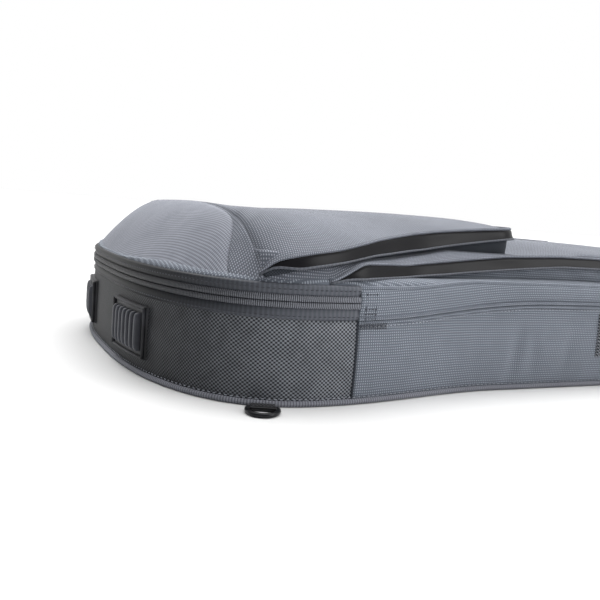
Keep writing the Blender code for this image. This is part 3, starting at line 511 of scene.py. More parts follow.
# Padded core of the wall: closed ring, seen only from below and with the lid open.
core_profile = np.array([(-0.0026, 0.004), (-0.0040, 0.0012), (-0.0070, 0.0004),
                         (-0.0110, 0.0010), (-0.0136, 0.0040), (-0.0140, 0.0100),
                         (-0.0140, 0.0660), (-0.0125, 0.0695), (-0.0085, 0.0706),
                         (-0.0045, 0.0700), (-0.0026, 0.0675), (-0.0026, 0.004)])
wall_core = carried("padded_wall_core", np.linspace(0.0, LAP, 560)[:-1], core_profile[::-1],
                    back_cloth, closed=True)
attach(wall_core, "base")
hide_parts("wall_foam")

bottom_bead = bead("bottom_binding", np.linspace(0.0, LAP, 700)[:-1], 0.0016, 0.0021, 0.0021,
                   binding, closed=True)
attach(bottom_bead, "base")
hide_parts("bottom_piping")

# The two rolls of the seam over the grey panel, which stand out more past the zip's stop.
ROLL_TURN = np.linspace(0.0, 2.0 * math.pi, 9)[None, ::-1]
seam_runs = runs_between(STOP_RUN, LAP - STOP_RUN)
seam_out = 0.0006 + 0.0012 * smooth(near_station(seam_runs), 0.22, 0.30)
for name, lift in (("side_seam_upper_roll", 0.0013), ("side_seam_lower_roll", -0.0014)):
    ring = np.stack([seam_out[:, None] + SEAM_ROLL * np.cos(ROLL_TURN),
                     seam_height(seam_runs)[:, None] + lift + SEAM_ROLL * np.sin(ROLL_TURN)], -1)
    roll = carried(name, seam_runs, ring, wall_cloth)
    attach(roll, "base")


def upright_seam(name, run, low, high):
    """The upright seam where two side panels meet: a felled fold 2 mm wide."""
    runs = run + np.linspace(-0.0011, 0.0011, 7)
    share = np.linspace(0.0, 1.0, 24)[None, :]
    height = low + (high - low) * share
    out = wall_relief(runs[:, None], height) + 0.0002 + 0.0006 * np.sin(
        math.pi * np.linspace(0.0, 1.0, 7))[:, None] ** 0.7
    # The seam is drawn in the gusset's darkened cloth, a dark line where the panels meet.
    seam = carried(name, runs, np.stack([out, np.broadcast_to(height, out.shape)], -1),
                   gusset_shade_cloth)
    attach(seam, "base")


upright_seam("upright_seam_near", STOP_RUN, WALL_LOW, float(seam_height(STOP_RUN)))
upright_seam("upright_seam_far", LAP - STOP_RUN, WALL_LOW, SEAM)


# ------------------------------------------------------------ main zip
def zip_part(name, profile, material, body, node):
    """A part of the zip strip, carried from the far end of the spine to its near end."""
    runs = runs_between(RESUME_RUN, LAP + STOP_RUN)
    strip = carried(name, runs, profile, material)
    thicken(strip, TAPE_CLOTH)
    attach(strip, body)
    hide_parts(node)


# Profiles of the strip's four parts, (out, height) from the bottom up; the two coils
# meet at a height of 70.9 mm, and the upper tape is sewn over the rim.
tape_low = [(-0.0002, 0.0585), (0.0009, 0.0605), (0.0011, 0.0620), (0.0006, 0.0635),
            (0.0006, 0.0668)]
coil_low = [(0.0004, 0.0664), (0.0013, 0.0669), (0.0019, 0.0678), (0.0020, 0.0690),
            (0.0018, 0.0702), (0.0012, 0.07072), (0.0004, 0.07078)]
coil_high = [(0.0004, 0.07102), (0.0012, 0.07108), (0.0018, 0.0715), (0.0020, 0.0730),
             (0.0019, 0.0742), (0.0013, 0.0751), (0.0004, 0.0755)]
tape_high = [(0.0006, 0.0750), (0.0007, 0.0775), (0.0013, 0.0796), (0.0014, 0.0808),
             (0.0008, 0.0819), (-0.0006, 0.0826), (-0.0022, 0.0826), (-0.0040, 0.0818)]
zip_part("zip_tape_below", tape_low, zip_tape, "base", "zip_tape_lower")
zip_part("zip_coil_below", coil_low, zip_coil, "base", "zip_coil_lower")
zip_part("zip_coil_above", coil_high, zip_coil, "lid", "zip_coil_upper")
zip_part("zip_tape_above", tape_high, zip_tape, "lid", "zip_tape_upper")

# ------------------------------------------------------------ spine cloth, and its ridge roll, which goes with the lid
ridge_runs = runs_between(STOP_RUN, RESUME_RUN, 0.003)
ridge_station = near_station(ridge_runs)
ridge_high = 0.0815 + 0.0050 * (smooth(ridge_station, 0.170, 0.250)
                                - smooth(ridge_station, 0.400, 0.450))
share = np.linspace(0.0, 1.0, 19)[None, :]
low = seam_height(ridge_runs)[:, None]
spine_height = low + (ridge_high[:, None] - low) * share
spine_out = (0.0004 + 0.0022 * np.sin(math.pi * share) ** 1.5 * share
             - 0.0016 * smooth(share, 0.85, 1.0)
             + 0.0004 * np.sin(ridge_runs[:, None] * 70.0) * np.sin(math.pi * share))
spine = carried("spine_cloth", ridge_runs, np.stack([spine_out, spine_height], -1), wall_cloth)
thicken(spine, PANEL_CLOTH)
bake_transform(spine)
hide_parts("spine_cloth_base", "spine_cloth_lid")
ridge_roll = carried("spine_ridge_roll", ridge_runs, np.stack(
    [-0.0014 + SEAM_ROLL * np.cos(ROLL_TURN) + 0.0 * ridge_runs[:, None],
     ridge_high[:, None] + SEAM_ROLL * np.sin(ROLL_TURN)], -1), wall_cloth)
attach(ridge_roll, "lid")


# ------------------------------------------------------------ padded front and the heel of the pockets
def inset_outline(inset):
    """The near outline moved inwards, its two ends on the middle line."""
    step = np.gradient(NEAR, axis=0)
    size = np.linalg.norm(step, axis=1, keepdims=True)
    return NEAR + np.stack([-step[:, 1], step[:, 0]], -1) / size * inset


def front_surface():
    """The padded front's cloth, a grid over rows across the bag.

    Its edge drops into the groove behind the zip strip, and its middle is level."""
    rows = inset_outline(0.0016)[::3]
    rows[[0, -1], 1] = 0.0
    share = np.cos(np.linspace(math.pi, 0.0, 61))
    x = np.broadcast_to(rows[:, :1], (len(rows), len(share)))
    y = -rows[:, 1:] * share[None, :]
    reach = 0.010 + 0.024 * (1.0 - smooth(x, 0.050, 0.090))
    edge = np.minimum((1.0 - np.abs(share))[None, :] * np.abs(rows[:, 1:]) / reach, 1.0)
    ends = np.minimum(np.minimum((x - rows[0, 0]) / 0.034, (rows[-1, 0] - x) / 0.006), 1.0)
    soft = np.sqrt(np.clip(1.0 - (1.0 - np.minimum(edge, ends)) ** 2, 0.0, 1.0))
    puff = 0.0010 * np.sin(x * 23.0) * np.sin(y * 31.0 + 0.6)
    z = FRONT_EDGE + (FRONT + 0.0002 - FRONT_EDGE) * soft + puff * soft
    return grid("padded_front_cloth", np.stack([x, y, z], -1), x, y, wall_cloth, weld=1e-6)


front = front_surface()
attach(front, "lid")
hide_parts("front_panel", "lid_foam")

# The flaps' upper and lower edges over the stations: near side as worn, far side as cut.
SHORT_UP = ((0.060, 0.065, 0.070, 0.090, 0.120, 0.160, 0.200, 0.230, 0.260, 0.300, 0.328),
            (0.0850, 0.0925, 0.0968, 0.1014, 0.1056, 0.1134, 0.1188, 0.1221, 0.1249, 0.1280,
             0.1290))
SHORT_LO = ((0.058, 0.070, 0.090, 0.120, 0.150, 0.210, 0.230, 0.260, 0.300, 0.328),
            (0.0842, 0.0884, 0.0929, 0.0970, 0.1018, 0.1073, 0.1101, 0.1145, 0.1199, 0.1215))
LONG_UP = ((0.108, 0.118, 0.135, 0.160, 0.180, 0.225, 0.285, 0.345, 0.500),
           (0.0835, 0.0880, 0.0968, 0.0965, 0.0962, 0.0999, 0.1058, 0.1085, 0.1085))
LONG_LO = ((0.108, 0.118, 0.135, 0.180, 0.225, 0.270, 0.315, 0.345, 0.500),
           (0.0815, 0.0835, 0.0865, 0.0878, 0.0905, 0.0941, 0.0979, 0.1000, 0.1000))
FAR_DROP = 0.0055


def inset_of(station, which):
    """How far a pocket's side stands in from the rim: it leaves the rim at its zip's tip."""
    if which == "short":
        return FOOT_INSET + (SHORT_INSET - FOOT_INSET) * smooth(station, 0.062, 0.220)
    return FOOT_INSET + (LONG_INSET - FOOT_INSET) * smooth(station, 0.095, 0.200)


def edge_height(station, y, table, top_half):
    """Height of a flap's edge; on the far side and past the middle it is a little lower."""
    far = smooth(y / np.maximum(top_half, 0.01), -0.9, 0.9)
    level = climb(station, *table)
    return level - FAR_DROP * far * smooth(station, 0.150, 0.280)


def pocket_half(station, which, end):
    """Half a pocket's width: the body's less the inset, with a rounded far end."""
    station = np.asarray(station, float)
    side = body_half(np.minimum(station, end - END_RUN)) - inset_of(station, which)
    past = np.clip((station - (end - END_RUN)) / END_RUN, 0.0, 1.0)
    return side * (1.0 - past ** END_POWER) ** (1.0 / END_POWER)


def pocket_stations(start, end, step=0.005):
    """Stations one step apart, closer together round the far end: end - run (1 - sin)."""
    straight = np.arange(start, end - END_RUN, step)
    turn = 0.5 * math.pi * np.linspace(0.0, 1.0, 22)
    return np.concatenate([straight, end - END_RUN + END_RUN * np.sin(turn)])


def skin(name, stations, halves, height, material, columns=73, spread=None):
    """A cloth over rows across the bag, its height given at every station and offset."""
    t = np.sin(0.5 * math.pi * np.linspace(-1.0, 1.0, columns))[None, :]
    x = np.broadcast_to(stations[:, None], (len(stations), columns)).copy()
    if spread is not None:
        x = spread(x, t)
    y = halves(x) * t
    z = height(x, y)
    u = np.cumsum(np.hypot(np.gradient(x, axis=0), np.gradient(z, axis=0)), axis=0)
    v = np.cumsum(np.hypot(np.gradient(z, axis=1), np.gradient(y, axis=1)), axis=1)
    v = v - v[:, columns // 2, None]
    if spread is not None:     # slanted rows: the map follows the plan, stretched uphill
        u, v = 1.25 * x, y
    return grid(name, np.stack([x, y, z], -1), u, v, material)


def softness(x, y):
    """Slow unevenness of stuffed cloth, under a millimetre and a half."""
    return (0.0011 * np.sin(21.0 * x + 1.0 + 9.0 * y) * np.sin(17.0 * y + 0.4)
            + 0.0006 * np.sin(55.0 * x + 31.0 * y))


def dart_line(y, half):
    """Station of the sewn dart: from the rim at 44 mm to the fold where it runs out."""
    share = np.abs(y) / np.maximum(half, 0.01)
    return FOLD - 0.0015 - 0.0165 * smooth(share, 0.66, 1.0)


def plan_gap(line, x, y):
    """Least distance in plan from points to a line of points."""
    first, step = line[:-1], np.diff(line, axis=0)
    length = np.maximum(np.sum(step ** 2, axis=1), 1e-12)
    best = np.full(np.shape(x), 1.0)
    for (ax, ay), (dx, dy), long in zip(first, step, length):
        share = np.clip(((x - ax) * dx + (y - ay) * dy) / long, 0.0, 1.0)
        best = np.minimum(best, np.hypot(x - ax - share * dx, y - ay - share * dy))
    return best


def crown_edge():
    """Plan line the round front rises from: the rim, then the short pocket's side."""
    rim = NEAR[NEAR[:, 0] < FOLD][::2]
    stations = pocket_stations(FOLD + 0.002, SHORT_END - 0.0002)
    side = np.stack([stations, -pocket_half(stations, "short", SHORT_END) - TUCK], -1)
    near = np.concatenate([rim, side])
    return np.concatenate([near, (near * [1.0, -1.0])[::-1]])


TUCK = 0.0022            # how far the front's cloth is tucked in behind the zip strip
CROWN_REACH, CROWN_FALL = 0.062, 1.7
CROWN_EDGE = crown_edge()
CROWN_TOP = ((0.000, 0.050, 0.070, 0.100, 0.150, 0.200, 0.250, 0.300, 0.328),
             (0.1318, 0.1322, 0.1312, 0.1302, 0.1300, 0.1316, 0.1336, 0.1360, 0.1364))


def crown_height(x, y):
    """The round front: edge + (top - edge) (1 - (1 - d/reach)^1.7), d inwards in plan.

    Its edge is the zip strip's top up to the fold and the short flap's top past it."""
    d = np.clip(plan_gap(CROWN_EDGE, x, y) - TUCK, 0.0, CROWN_REACH)
    rise = 1.0 - (1.0 - d / CROWN_REACH) ** CROWN_FALL
    flap_top = edge_height(x, y, SHORT_UP,
                           pocket_half(np.minimum(x, 0.28), "short", SHORT_END))
    edge = 0.0822 + (flap_top - 0.0822) * smooth(x, 0.052, 0.067)
    top = climb(x, *CROWN_TOP)
    top = top - 0.0014 * hump(x, 0.085, 0.022) * hump(np.abs(y), 0.110, 0.045)
    return edge + (top - edge) * rise + crown_relief(x, y) * np.minimum(rise * 3.0, 1.0)


def crown_relief(x, y):
    """A sink at the sewn dart, a swell beside it, and a soft crest beyond the fold."""
    half = body_half(x) - FOOT_INSET
    line = dart_line(y, half)
    sink = -0.0016 * hump(x, line, 0.0026) + 0.0009 * hump(x, line - 0.010, 0.006)
    near = smooth(np.abs(y) / half, 0.60, 0.75)
    crest = 0.0011 * hump(np.abs(y) - 0.135 + 1.1 * (x - 0.063), 0.0, 0.0070) * smooth(
        x, 0.058, 0.068) * (1.0 - smooth(x, 0.075, 0.105))
    return sink * near + softness(x, y) + crest


heel_turn = 0.5 * math.pi * np.linspace(0.0, 1.0, 36)
heel_rows = FOOT_INSET * 0.7 + (1.0 - np.cos(heel_turn))
heel_rows = heel_rows / heel_rows[-1]


def heel_spread(x, t):
    """Rows of the heel squeezed between the bottom end and the dart's line."""
    start = FOOT_INSET * 0.75
    stop = dart_line(t, 1.0)
    share = (x - x[0, 0]) / (x[-1, 0] - x[0, 0])
    return start + (stop - start) * share


heel = skin("pocket_heel_cloth", heel_rows * 0.06, lambda x: body_half(x) - TUCK,
            crown_height, heel_cloth, spread=heel_spread)


def gore_spread(x, t):
    """Rows of the gore between the dart's line and the fold."""
    start = dart_line(t, 1.0)
    share = (x - x[0, 0]) / (x[-1, 0] - x[0, 0])
    return start + (FOLD - start) * share


gore = skin("heel_gore_cloth", np.linspace(0.05, FOLD, 9), lambda x: body_half(x) - TUCK,
            crown_height, front_cloth, spread=gore_spread)
for part in (heel, gore):
    thicken(part, POCKET_CLOTH)
    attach(part, "lid")
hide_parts("pocket_heel")


# ------------------------------------------------------------ pockets
def flap_path(tip, end, which):
    """Plan line of a pocket's side from its near tip round the far end to its far tip."""
    stations = pocket_stations(tip, end - 0.0004, 0.004)
    half = pocket_half(stations, which, end)
    near = np.stack([stations, -half], -1)
    path = np.concatenate([near, (near * [1.0, -1.0])[::-1]])
    step = np.gradient(path, axis=0)
    normal = np.stack([step[:, 1], -step[:, 0]], -1)
    return path, normal / np.linalg.norm(normal, axis=1, keepdims=True)


def flap(name, which, tip, end, high_table, low_table, body, node):
    """A rain flap: a coated strip sewn at its upper edge that fans out of the rim.

    Its profile goes from the seam over a small roll, down a leaf that bows out, and
    round a hem. At the tips it narrows to a quarter of its width and stands out about a third as far."""
    path, normal = flap_path(tip, end, which)
    full = pocket_half(np.minimum(path[:, 0], end - END_RUN), which, end)
    up = edge_height(path[:, 0], path[:, 1], high_table, full)
    lo = edge_height(path[:, 0], path[:, 1], low_table, full)
    run = np.concatenate([[0.0], np.cumsum(np.hypot(*np.diff(path, axis=0).T))])
    tipness = np.minimum(run, run[-1] - run)
    grow = smooth(tipness, 0.0, 0.030)
    deep = (up - lo)[:, None] * (0.25 + 0.75 * grow[:, None])
    wave = 0.0005 * np.sin(run * 95.0) * np.sin(run * 37.0 + 1.0)
    share = np.array([0.02, 0.0, -0.02, 0.08, 0.25, 0.45, 0.65, 0.82, 0.94, 1.02, 1.03, 0.98,
                      0.80, 0.50, 0.20])[None, :]
    out = np.array([-0.0012, 0.0002, 0.0014, 0.0026, 0.0030, 0.0034, 0.0040, 0.0046, 0.0050,
                    0.0049, 0.0040, 0.0034, 0.0026, 0.0018, 0.0006])[None, :]
    out = out * (0.35 + 0.65 * grow[:, None]) + wave[:, None] * share
    points = np.concatenate([path[:, None] + normal[:, None] * out[..., None],
                             (up[:, None] - deep * share)[..., None]], -1)
    strip = grid(name, points, run[:, None], -deep * share, flap_cloth, wrap_cols=True)
    shape = bmesh.new()
    shape.from_mesh(strip.data)
    bmesh.ops.holes_fill(shape, edges=[e for e in shape.edges if e.is_boundary])
    bmesh.ops.recalc_face_normals(shape, faces=shape.faces)
    shape.to_mesh(strip.data)
    shape.free()
    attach(strip, body)
    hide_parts(node)
    bead_points = np.concatenate([path + normal * 0.0011, (up + 0.0008)[:, None]], -1)
    side = np.concatenate([normal, np.zeros((len(path), 1))], -1)
    roll = swept(name + "_edge_roll", bead_points, side,
                 np.broadcast_to([0.0, 0.0, 1.0], side.shape), oval(0.0026, 0.0024, 8),
                 front_cloth)
    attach(roll, body)
    hem_points = np.concatenate([path + normal * (out[:, 8:9] + 0.0003),
                                 (up - deep[:, 0] * 0.93)[:, None]], -1)
    hem = swept(name + "_hem", hem_points, side,
                np.broadcast_to([0.0, 0.0, 1.0], side.shape), oval(0.0016, 0.0017, 8),
                zip_tape)
    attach(hem, body)


short_front = skin("short_pocket_front", pocket_stations(FOLD, SHORT_END),
                   lambda x: pocket_half(x, "short", SHORT_END), crown_height, front_cloth)
thicken(short_front, POCKET_CLOTH)
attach(short_front, "short_pocket")
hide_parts("short_pocket")


def gusset(name, which, tip, end, low_at, high_table, body, material, out=0.0):
    """The upright cloth side of a pocket behind its flap, slack and wrinkled."""
    path, normal = flap_path(tip, end, which)
    full = pocket_half(np.minimum(path[:, 0], end - END_RUN), which, end)
    up = edge_height(path[:, 0], path[:, 1], high_table, full) - 0.0006
    low = low_at(path[:, 0])
    run = np.concatenate([[0.0], np.cumsum(np.hypot(*np.diff(path, axis=0).T))])
    share = np.linspace(0.0, 1.0, 11)[None, :]
    slack = (0.0008 * np.sin(run[:, None] * 150.0 + share * 2.0)
             * np.sin(run[:, None] * 41.0) + 0.0010) * np.sin(math.pi * share)
    points = np.concatenate([path[:, None] + normal[:, None] * (out + slack)[..., None],
                             (low[:, None] + (up - low)[:, None] * share)[..., None]], -1)
    side = grid(name, points, run[:, None], (up - low)[:, None] * share, material)
    thicken(side, TAPE_CLOTH)
    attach(side, body)


def long_top(x):
    """The long pocket's top: level under the short pocket, round past its end."""
    past = smooth(x, SHORT_END + 0.004, SHORT_END + 0.050)
    return 0.1036 + (0.1192 - 0.1036) * past * (1.0 - 0.8 * smooth(x, 0.455, LONG_END))


def long_foot(x, y):
    """The long pocket's edge: the rim at the fold, then the upper edge of its flap."""
    flap_edge = edge_height(x, y, LONG_UP, pocket_half(np.minimum(x, 0.45), "long", LONG_END))
    return np.where(x < 0.100, 0.0845, 0.0845 + (flap_edge - 0.0845) * smooth(x, 0.095, 0.120))


def long_shape():
    """The long pocket's front, rows across the bag in three stretches.

    From its edge the cloth rises over the shoulder to where it meets the short
    pocket's side, and is level inside; past the short pocket it is one dome."""
    stations = pocket_stations(FOLD, LONG_END)
    columns = 81
    t = np.sin(0.5 * math.pi * np.linspace(-1.0, 1.0, columns))[None, :]
    x = np.broadcast_to(stations[:, None], (len(stations), columns))
    half = pocket_half(stations, "long", LONG_END)[:, None]
    y = half * t
    foot = long_foot(x, y)
    level = np.clip(1.0 - np.abs(t) ** 3.2, 0.0, 1.0) ** (1.0 / 3.2)
    dome = foot + (long_top(x) - foot) * level
    in_from_edge = half - np.abs(y)
    reach = np.maximum(inset_of(x, "short") - inset_of(x, "long"), 0.0008)
    share = np.clip(in_from_edge / reach, 0.0, 1.0)
    near = 1.0 - smooth(y / half, -0.5, 0.5)
    meet = climb(x, *SHORT_LO) - 0.0010 - (0.0045 - 0.0025 * near) * smooth(x, 0.10, 0.20)
    meet = np.minimum(meet, 0.1046 + 0.0035 * near)
    shoulder = foot + (meet - foot) * np.sin(0.5 * math.pi * share)
    inner = meet + (0.1030 - meet) * smooth(in_from_edge - reach, 0.0, 0.006)
    under = np.where(share < 1.0, shoulder, inner)
    past = smooth(x, SHORT_END - 0.012, SHORT_END + 0.010)
    z = under + (dome - under) * past + softness(x, y) * np.minimum(level, 1.0) * 0.5
    v = np.cumsum(np.hypot(np.gradient(z, axis=1), np.gradient(y, axis=1)), axis=1)
    return grid("long_pocket_front", np.stack([x, y, z], -1), x, v, front_cloth)


long_front = long_shape()
thicken(long_front, FRONT_CLOTH)
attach(long_front, "long_pocket")
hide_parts("long_pocket")
gusset("long_pocket_gusset", "long", 0.107, LONG_END,
       lambda x: np.full(x.shape, 0.0865), LONG_UP, "long_pocket", wall_cloth, -0.0006)
gusset("short_pocket_gusset", "short", 0.062, SHORT_END,
       lambda x: 0.0855 + (0.1010 - 0.0855) * smooth(x, 0.062, 0.190),
       SHORT_UP, "short_pocket", gusset_shade_cloth, -0.0008)
flap("long_pocket_rain_flap", "long", 0.107, LONG_END, LONG_UP, LONG_LO,
     "long_pocket", "long_pocket_flap")
flap("short_pocket_rain_flap", "short", 0.060, SHORT_END, SHORT_UP, SHORT_LO,
     "short_pocket", "short_pocket_flap")


def pocket_zip(name, which, tip, end, low, table, body, node):
    """The coil of a pocket's zip under its flap: a flat strip 5 mm high.

    On the near side it climbs with the flap that hides it."""
    path, normal = flap_path(tip, end, which)
    near = 1.0 - smooth(path[:, 1] / FLANK_HALF, -0.5, 0.5)
    hidden = np.maximum(climb(path[:, 0], *table) + 0.0010, low)
    low = (low + (hidden - low) * near)[:, None, None]
    run = np.concatenate([[0.0], np.cumsum(np.hypot(*np.diff(path, axis=0).T))])
    profile = np.array([(0.0002, 0.0), (0.0013, 0.0006), (0.0016, 0.0025), (0.0013, 0.0044),
                        (0.0002, 0.0050)])
    points = np.concatenate([path[:, None] + normal[:, None] * profile[None, :, :1],
                             low + profile[None, :, 1:]], -1)
    coil = grid(name, points, run[:, None], profile[None, :, 1], zip_coil)
    thicken(coil, 0.0006)
    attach(coil, body)
    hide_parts(node)


pocket_zip("long_pocket_zip_coil", "long", 0.150, LONG_END, 0.0900, LONG_LO,
           "long_pocket", "long_pocket_zip")
pocket_zip("short_pocket_zip_coil", "short", 0.150, SHORT_END, 0.1041, SHORT_LO,
           "short_pocket", "short_pocket_zip")


# ------------------------------------------------------------ reflective strip
def reflective_band():
    """A strip of tape laid over the long pocket's round part."""
    x = np.linspace(0.431, 0.449, 9)[:, None]
    y = np.linspace(-0.045, 0.045, 33)[None, :]
    x, y = np.broadcast_arrays(x, y)
    half = pocket_half(x, "long", LONG_END)
    level = np.clip(1.0 - np.abs(y / half) ** 3.2, 0.0, 1.0) ** (1.0 / 3.2)
    foot = long_foot(x, y)
    z = foot + (long_top(x) - foot) * level + softness(x, y) * 0.5 + 0.0010
    band = grid("reflective_tape_band", np.stack([x, y, z], -1), x, y, reflective)
    thicken(band, 0.0009)
    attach(band, "long_pocket")
    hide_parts("reflective_strip")


reflective_band()


# ------------------------------------------------------------ stitching
def stitches(name, centres, along_dir, out_dir, body, length=0.0024, wide=0.0007,
             thread=None):
    """Short thread stitches as one piece: flat six-sided beads of 12 faces each.

    centres, along_dir and out_dir are arrays, one row a stitch."""
    centres, along_dir, out_dir = (np.asarray(m, float) for m in (centres, along_dir, out_dir))
    across = np.cross(out_dir, along_dir)
    corners = np.array([(-1, 0, 0), (-0.55, 1, 0), (0.55, 1, 0), (1, 0, 0), (0.55, -1, 0),
                        (-0.55, -1, 0), (-0.5, 0, 1), (0.5, 0, 1)], float)
    size = np.array([0.5 * length, 0.5 * wide, 0.6 * wide])
    local = corners * size
    points = (centres[:, None] + along_dir[:, None] * local[None, :, :1]
              + across[:, None] * local[None, :, 1:2] + out_dir[:, None] * local[None, :, 2:])
    pattern = np.array([(0, 6, 1), (1, 6, 7), (1, 7, 2), (2, 7, 3), (3, 7, 4), (4, 7, 6),
                        (4, 6, 5), (5, 6, 0)])[:, ::-1]
    faces = (pattern[None] + 8 * np.arange(len(centres))[:, None, None]).reshape(-1, 3)
    thing = piece(name, (points.reshape(-1, 3) - [MIDDLE, 0.0, 0.0]).tolist(),
                  faces.tolist(), thread)
    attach(thing, body)
    return thing


thread_light = woven("bonded_nylon_thread_grey", "#c3c7d0", "#8b8f99", 0.0006, depth=0.1,
                     on="object", roughness=0.5)
thread_dark = woven("bonded_nylon_thread_dark", "#4b4e57", "#2b2d33", 0.0006, depth=0.1,
                    on="object", roughness=0.5)


def outline_stitches(name, start, stop, height, out, body, pitch=0.0036, thread=None):
    """A row of stitches along the outline at a height and an offset."""
    runs = np.arange(start, stop, pitch)
    flat, normal = along(runs), outwards(runs)
    high = height(runs) if callable(height) else np.full(len(runs), height)
    centres = np.column_stack([flat + normal * out, high])
    out_dir = np.column_stack([normal, np.zeros(len(runs))])
    ahead = np.column_stack([-normal[:, 1], normal[:, 0], np.zeros(len(runs))])
    return stitches(name, centres, ahead, out_dir, body, thread=thread)


outline_stitches("seam_stitches_below_zip", -STOP_RUN, STOP_RUN, 0.0612, 0.0013, "base",
                 thread=thread_dark)
outline_stitches("seam_stitches_above_zip", -STOP_RUN, STOP_RUN, 0.0790, 0.0014, "lid",
                 thread=thread_dark)
outline_stitches("side_seam_stitches", STOP_RUN + 0.004, LAP - STOP_RUN - 0.004,
                 lambda r: seam_height(r) - 0.0042, 0.0010, "base",
                 thread=thread_light)
outline_stitches("bottom_binding_stitches", 0.0, LAP, 0.0048, 0.0008, "base",
                 pitch=0.0042, thread=thread_light)


def wall_box_stitch():
    """Box stitching that holds the spine's end, and the bar tack under it."""
    run0, span = STOP_RUN + 0.0050, 0.0085
    spots, ways = [], []
    for high in np.linspace(0.0600, 0.0770, 6):
        spots += [(run0 + u, high) for u in np.linspace(0.0, span, 4)]
        ways += [(1.0, 0.0)] * 4
    for run in (run0, run0 + span):
        spots += [(run, z) for z in np.linspace(0.0600, 0.0770, 7)]
        ways += [(0.0, 1.0)] * 7
    for high in (0.0532, 0.0544, 0.0556, 0.0568):
        spots += [(run0 - 0.003 + u, high) for u in np.linspace(0.0, 0.022, 10)]
        ways += [(1.0, 0.0)] * 10
    spots, ways = np.array(spots), np.array(ways)
    flat, normal = along(spots[:, 0]), outwards(spots[:, 0])
    centres = np.column_stack([flat + normal * 0.0016, spots[:, 1]])
    tangent = np.column_stack([-normal[:, 1], normal[:, 0], np.zeros(len(spots))])
    up = np.broadcast_to([0.0, 0.0, 1.0], tangent.shape)
    ahead = tangent * ways[:, :1] + up * ways[:, 1:]
    out_dir = np.column_stack([normal, np.zeros(len(spots))])
    stitches("spine_box_stitching", centres, ahead, out_dir, "base",
             thread=thread_dark)


wall_box_stitch()


# ------------------------------------------------------------ feet
def foot(name, middle, node):
    """A moulded foot: a bowed pad with a raised rim and seven ribs with rounded faces.

    Each rib is a superellipse block bent round the bag's outline with the pad."""
    long, high, low = FOOT_LONG, FOOT_HIGH, FOOT_LOW
    start = middle - 0.5 * long

    def bent(name, r0, r1, z0, z1, base, proud, material, count=9, power=5.0):
        """A cushion-edged block between two runs and two heights, out = base + proud
        times (1 - |a|^p)^(1/p) (1 - |b|^p)^(1/p)."""
        a = np.sin(0.5 * math.pi * np.linspace(-1, 1, count))[:, None]
        b = np.sin(0.5 * math.pi * np.linspace(-1, 1, 2 * count))[None, :]
        out = (base + proud * (1 - np.abs(a) ** power) ** (1 / power)
               * (1 - np.abs(b) ** power) ** (1 / power))
        runs = 0.5 * (r0 + r1) + 0.5 * (r1 - r0) * a[:, 0]
        height = 0.5 * (z0 + z1) + 0.5 * (z1 - z0) * b
        thing = carried(name, runs, np.stack([out, np.broadcast_to(height, out.shape)], -1),
                        material)
        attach(thing, "base")
        return thing

    pad = bent(name + "_pad", start, start + long, low, low + high, -0.0006, 0.0036, rubber,
               count=24, power=14.0)
    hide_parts(node)
    lengthwise = runs_between(start + 0.001, start + long - 0.001, 0.003)
    edge = [bead(f"{name}_rim_{i}", lengthwise, 0.0034, z, 0.0011, rubber)
            for i, z in enumerate((low + 0.0012, low + high - 0.0012))]
    for r in (start + 0.0012, start + long - 0.0012):
        flat, normal = along(r), outwards(r)
        z = np.linspace(low + 0.001, low + high - 0.001, 12)
        line = np.column_stack([np.full(12, flat[0] + normal[0] * 0.0036),
                                np.full(12, flat[1] + normal[1] * 0.0036), z])
        side = np.broadcast_to([normal[0], normal[1], 0.0], (12, 3))
        tangent = np.broadcast_to([-normal[1], normal[0], 0.0], (12, 3))
        edge.append(swept(f"{name}_rim_{len(edge)}", line, tangent, side,
                          oval(0.0024, 0.0030, 8), rubber))
    for thing in edge:
        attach(thing, "base")
    pitch = long / (FOOT_RIBS + 1.5)
    margin = 0.5 * (long - FOOT_RIBS * pitch)
    for i in range(FOOT_RIBS):
        r0 = start + margin + pitch * (i + 0.25)
        bent(f"{name}_rib_{i}", r0, r0 + 0.50 * pitch, low + 0.0052, low + high - 0.0052,
             0.0018, 0.0058, rubber_face)


foot("near_foot", FOOT_AT, "foot_near")
foot("far_foot", -FOOT_AT, "foot_far")


# ------------------------------------------------------------ strap rings, tabs, handle, hanging loop
def local_frame(run):
    """Point, outward normal and tangent of the outline as 3-D vectors."""
    flat, normal = along(run), outwards(run)
    point = np.array([flat[0], flat[1], 0.0])
    return point, np.array([normal[0], normal[1], 0.0]), np.array([-normal[1], normal[0], 0.0])


UP = np.array([0.0, 0.0, 1.0])


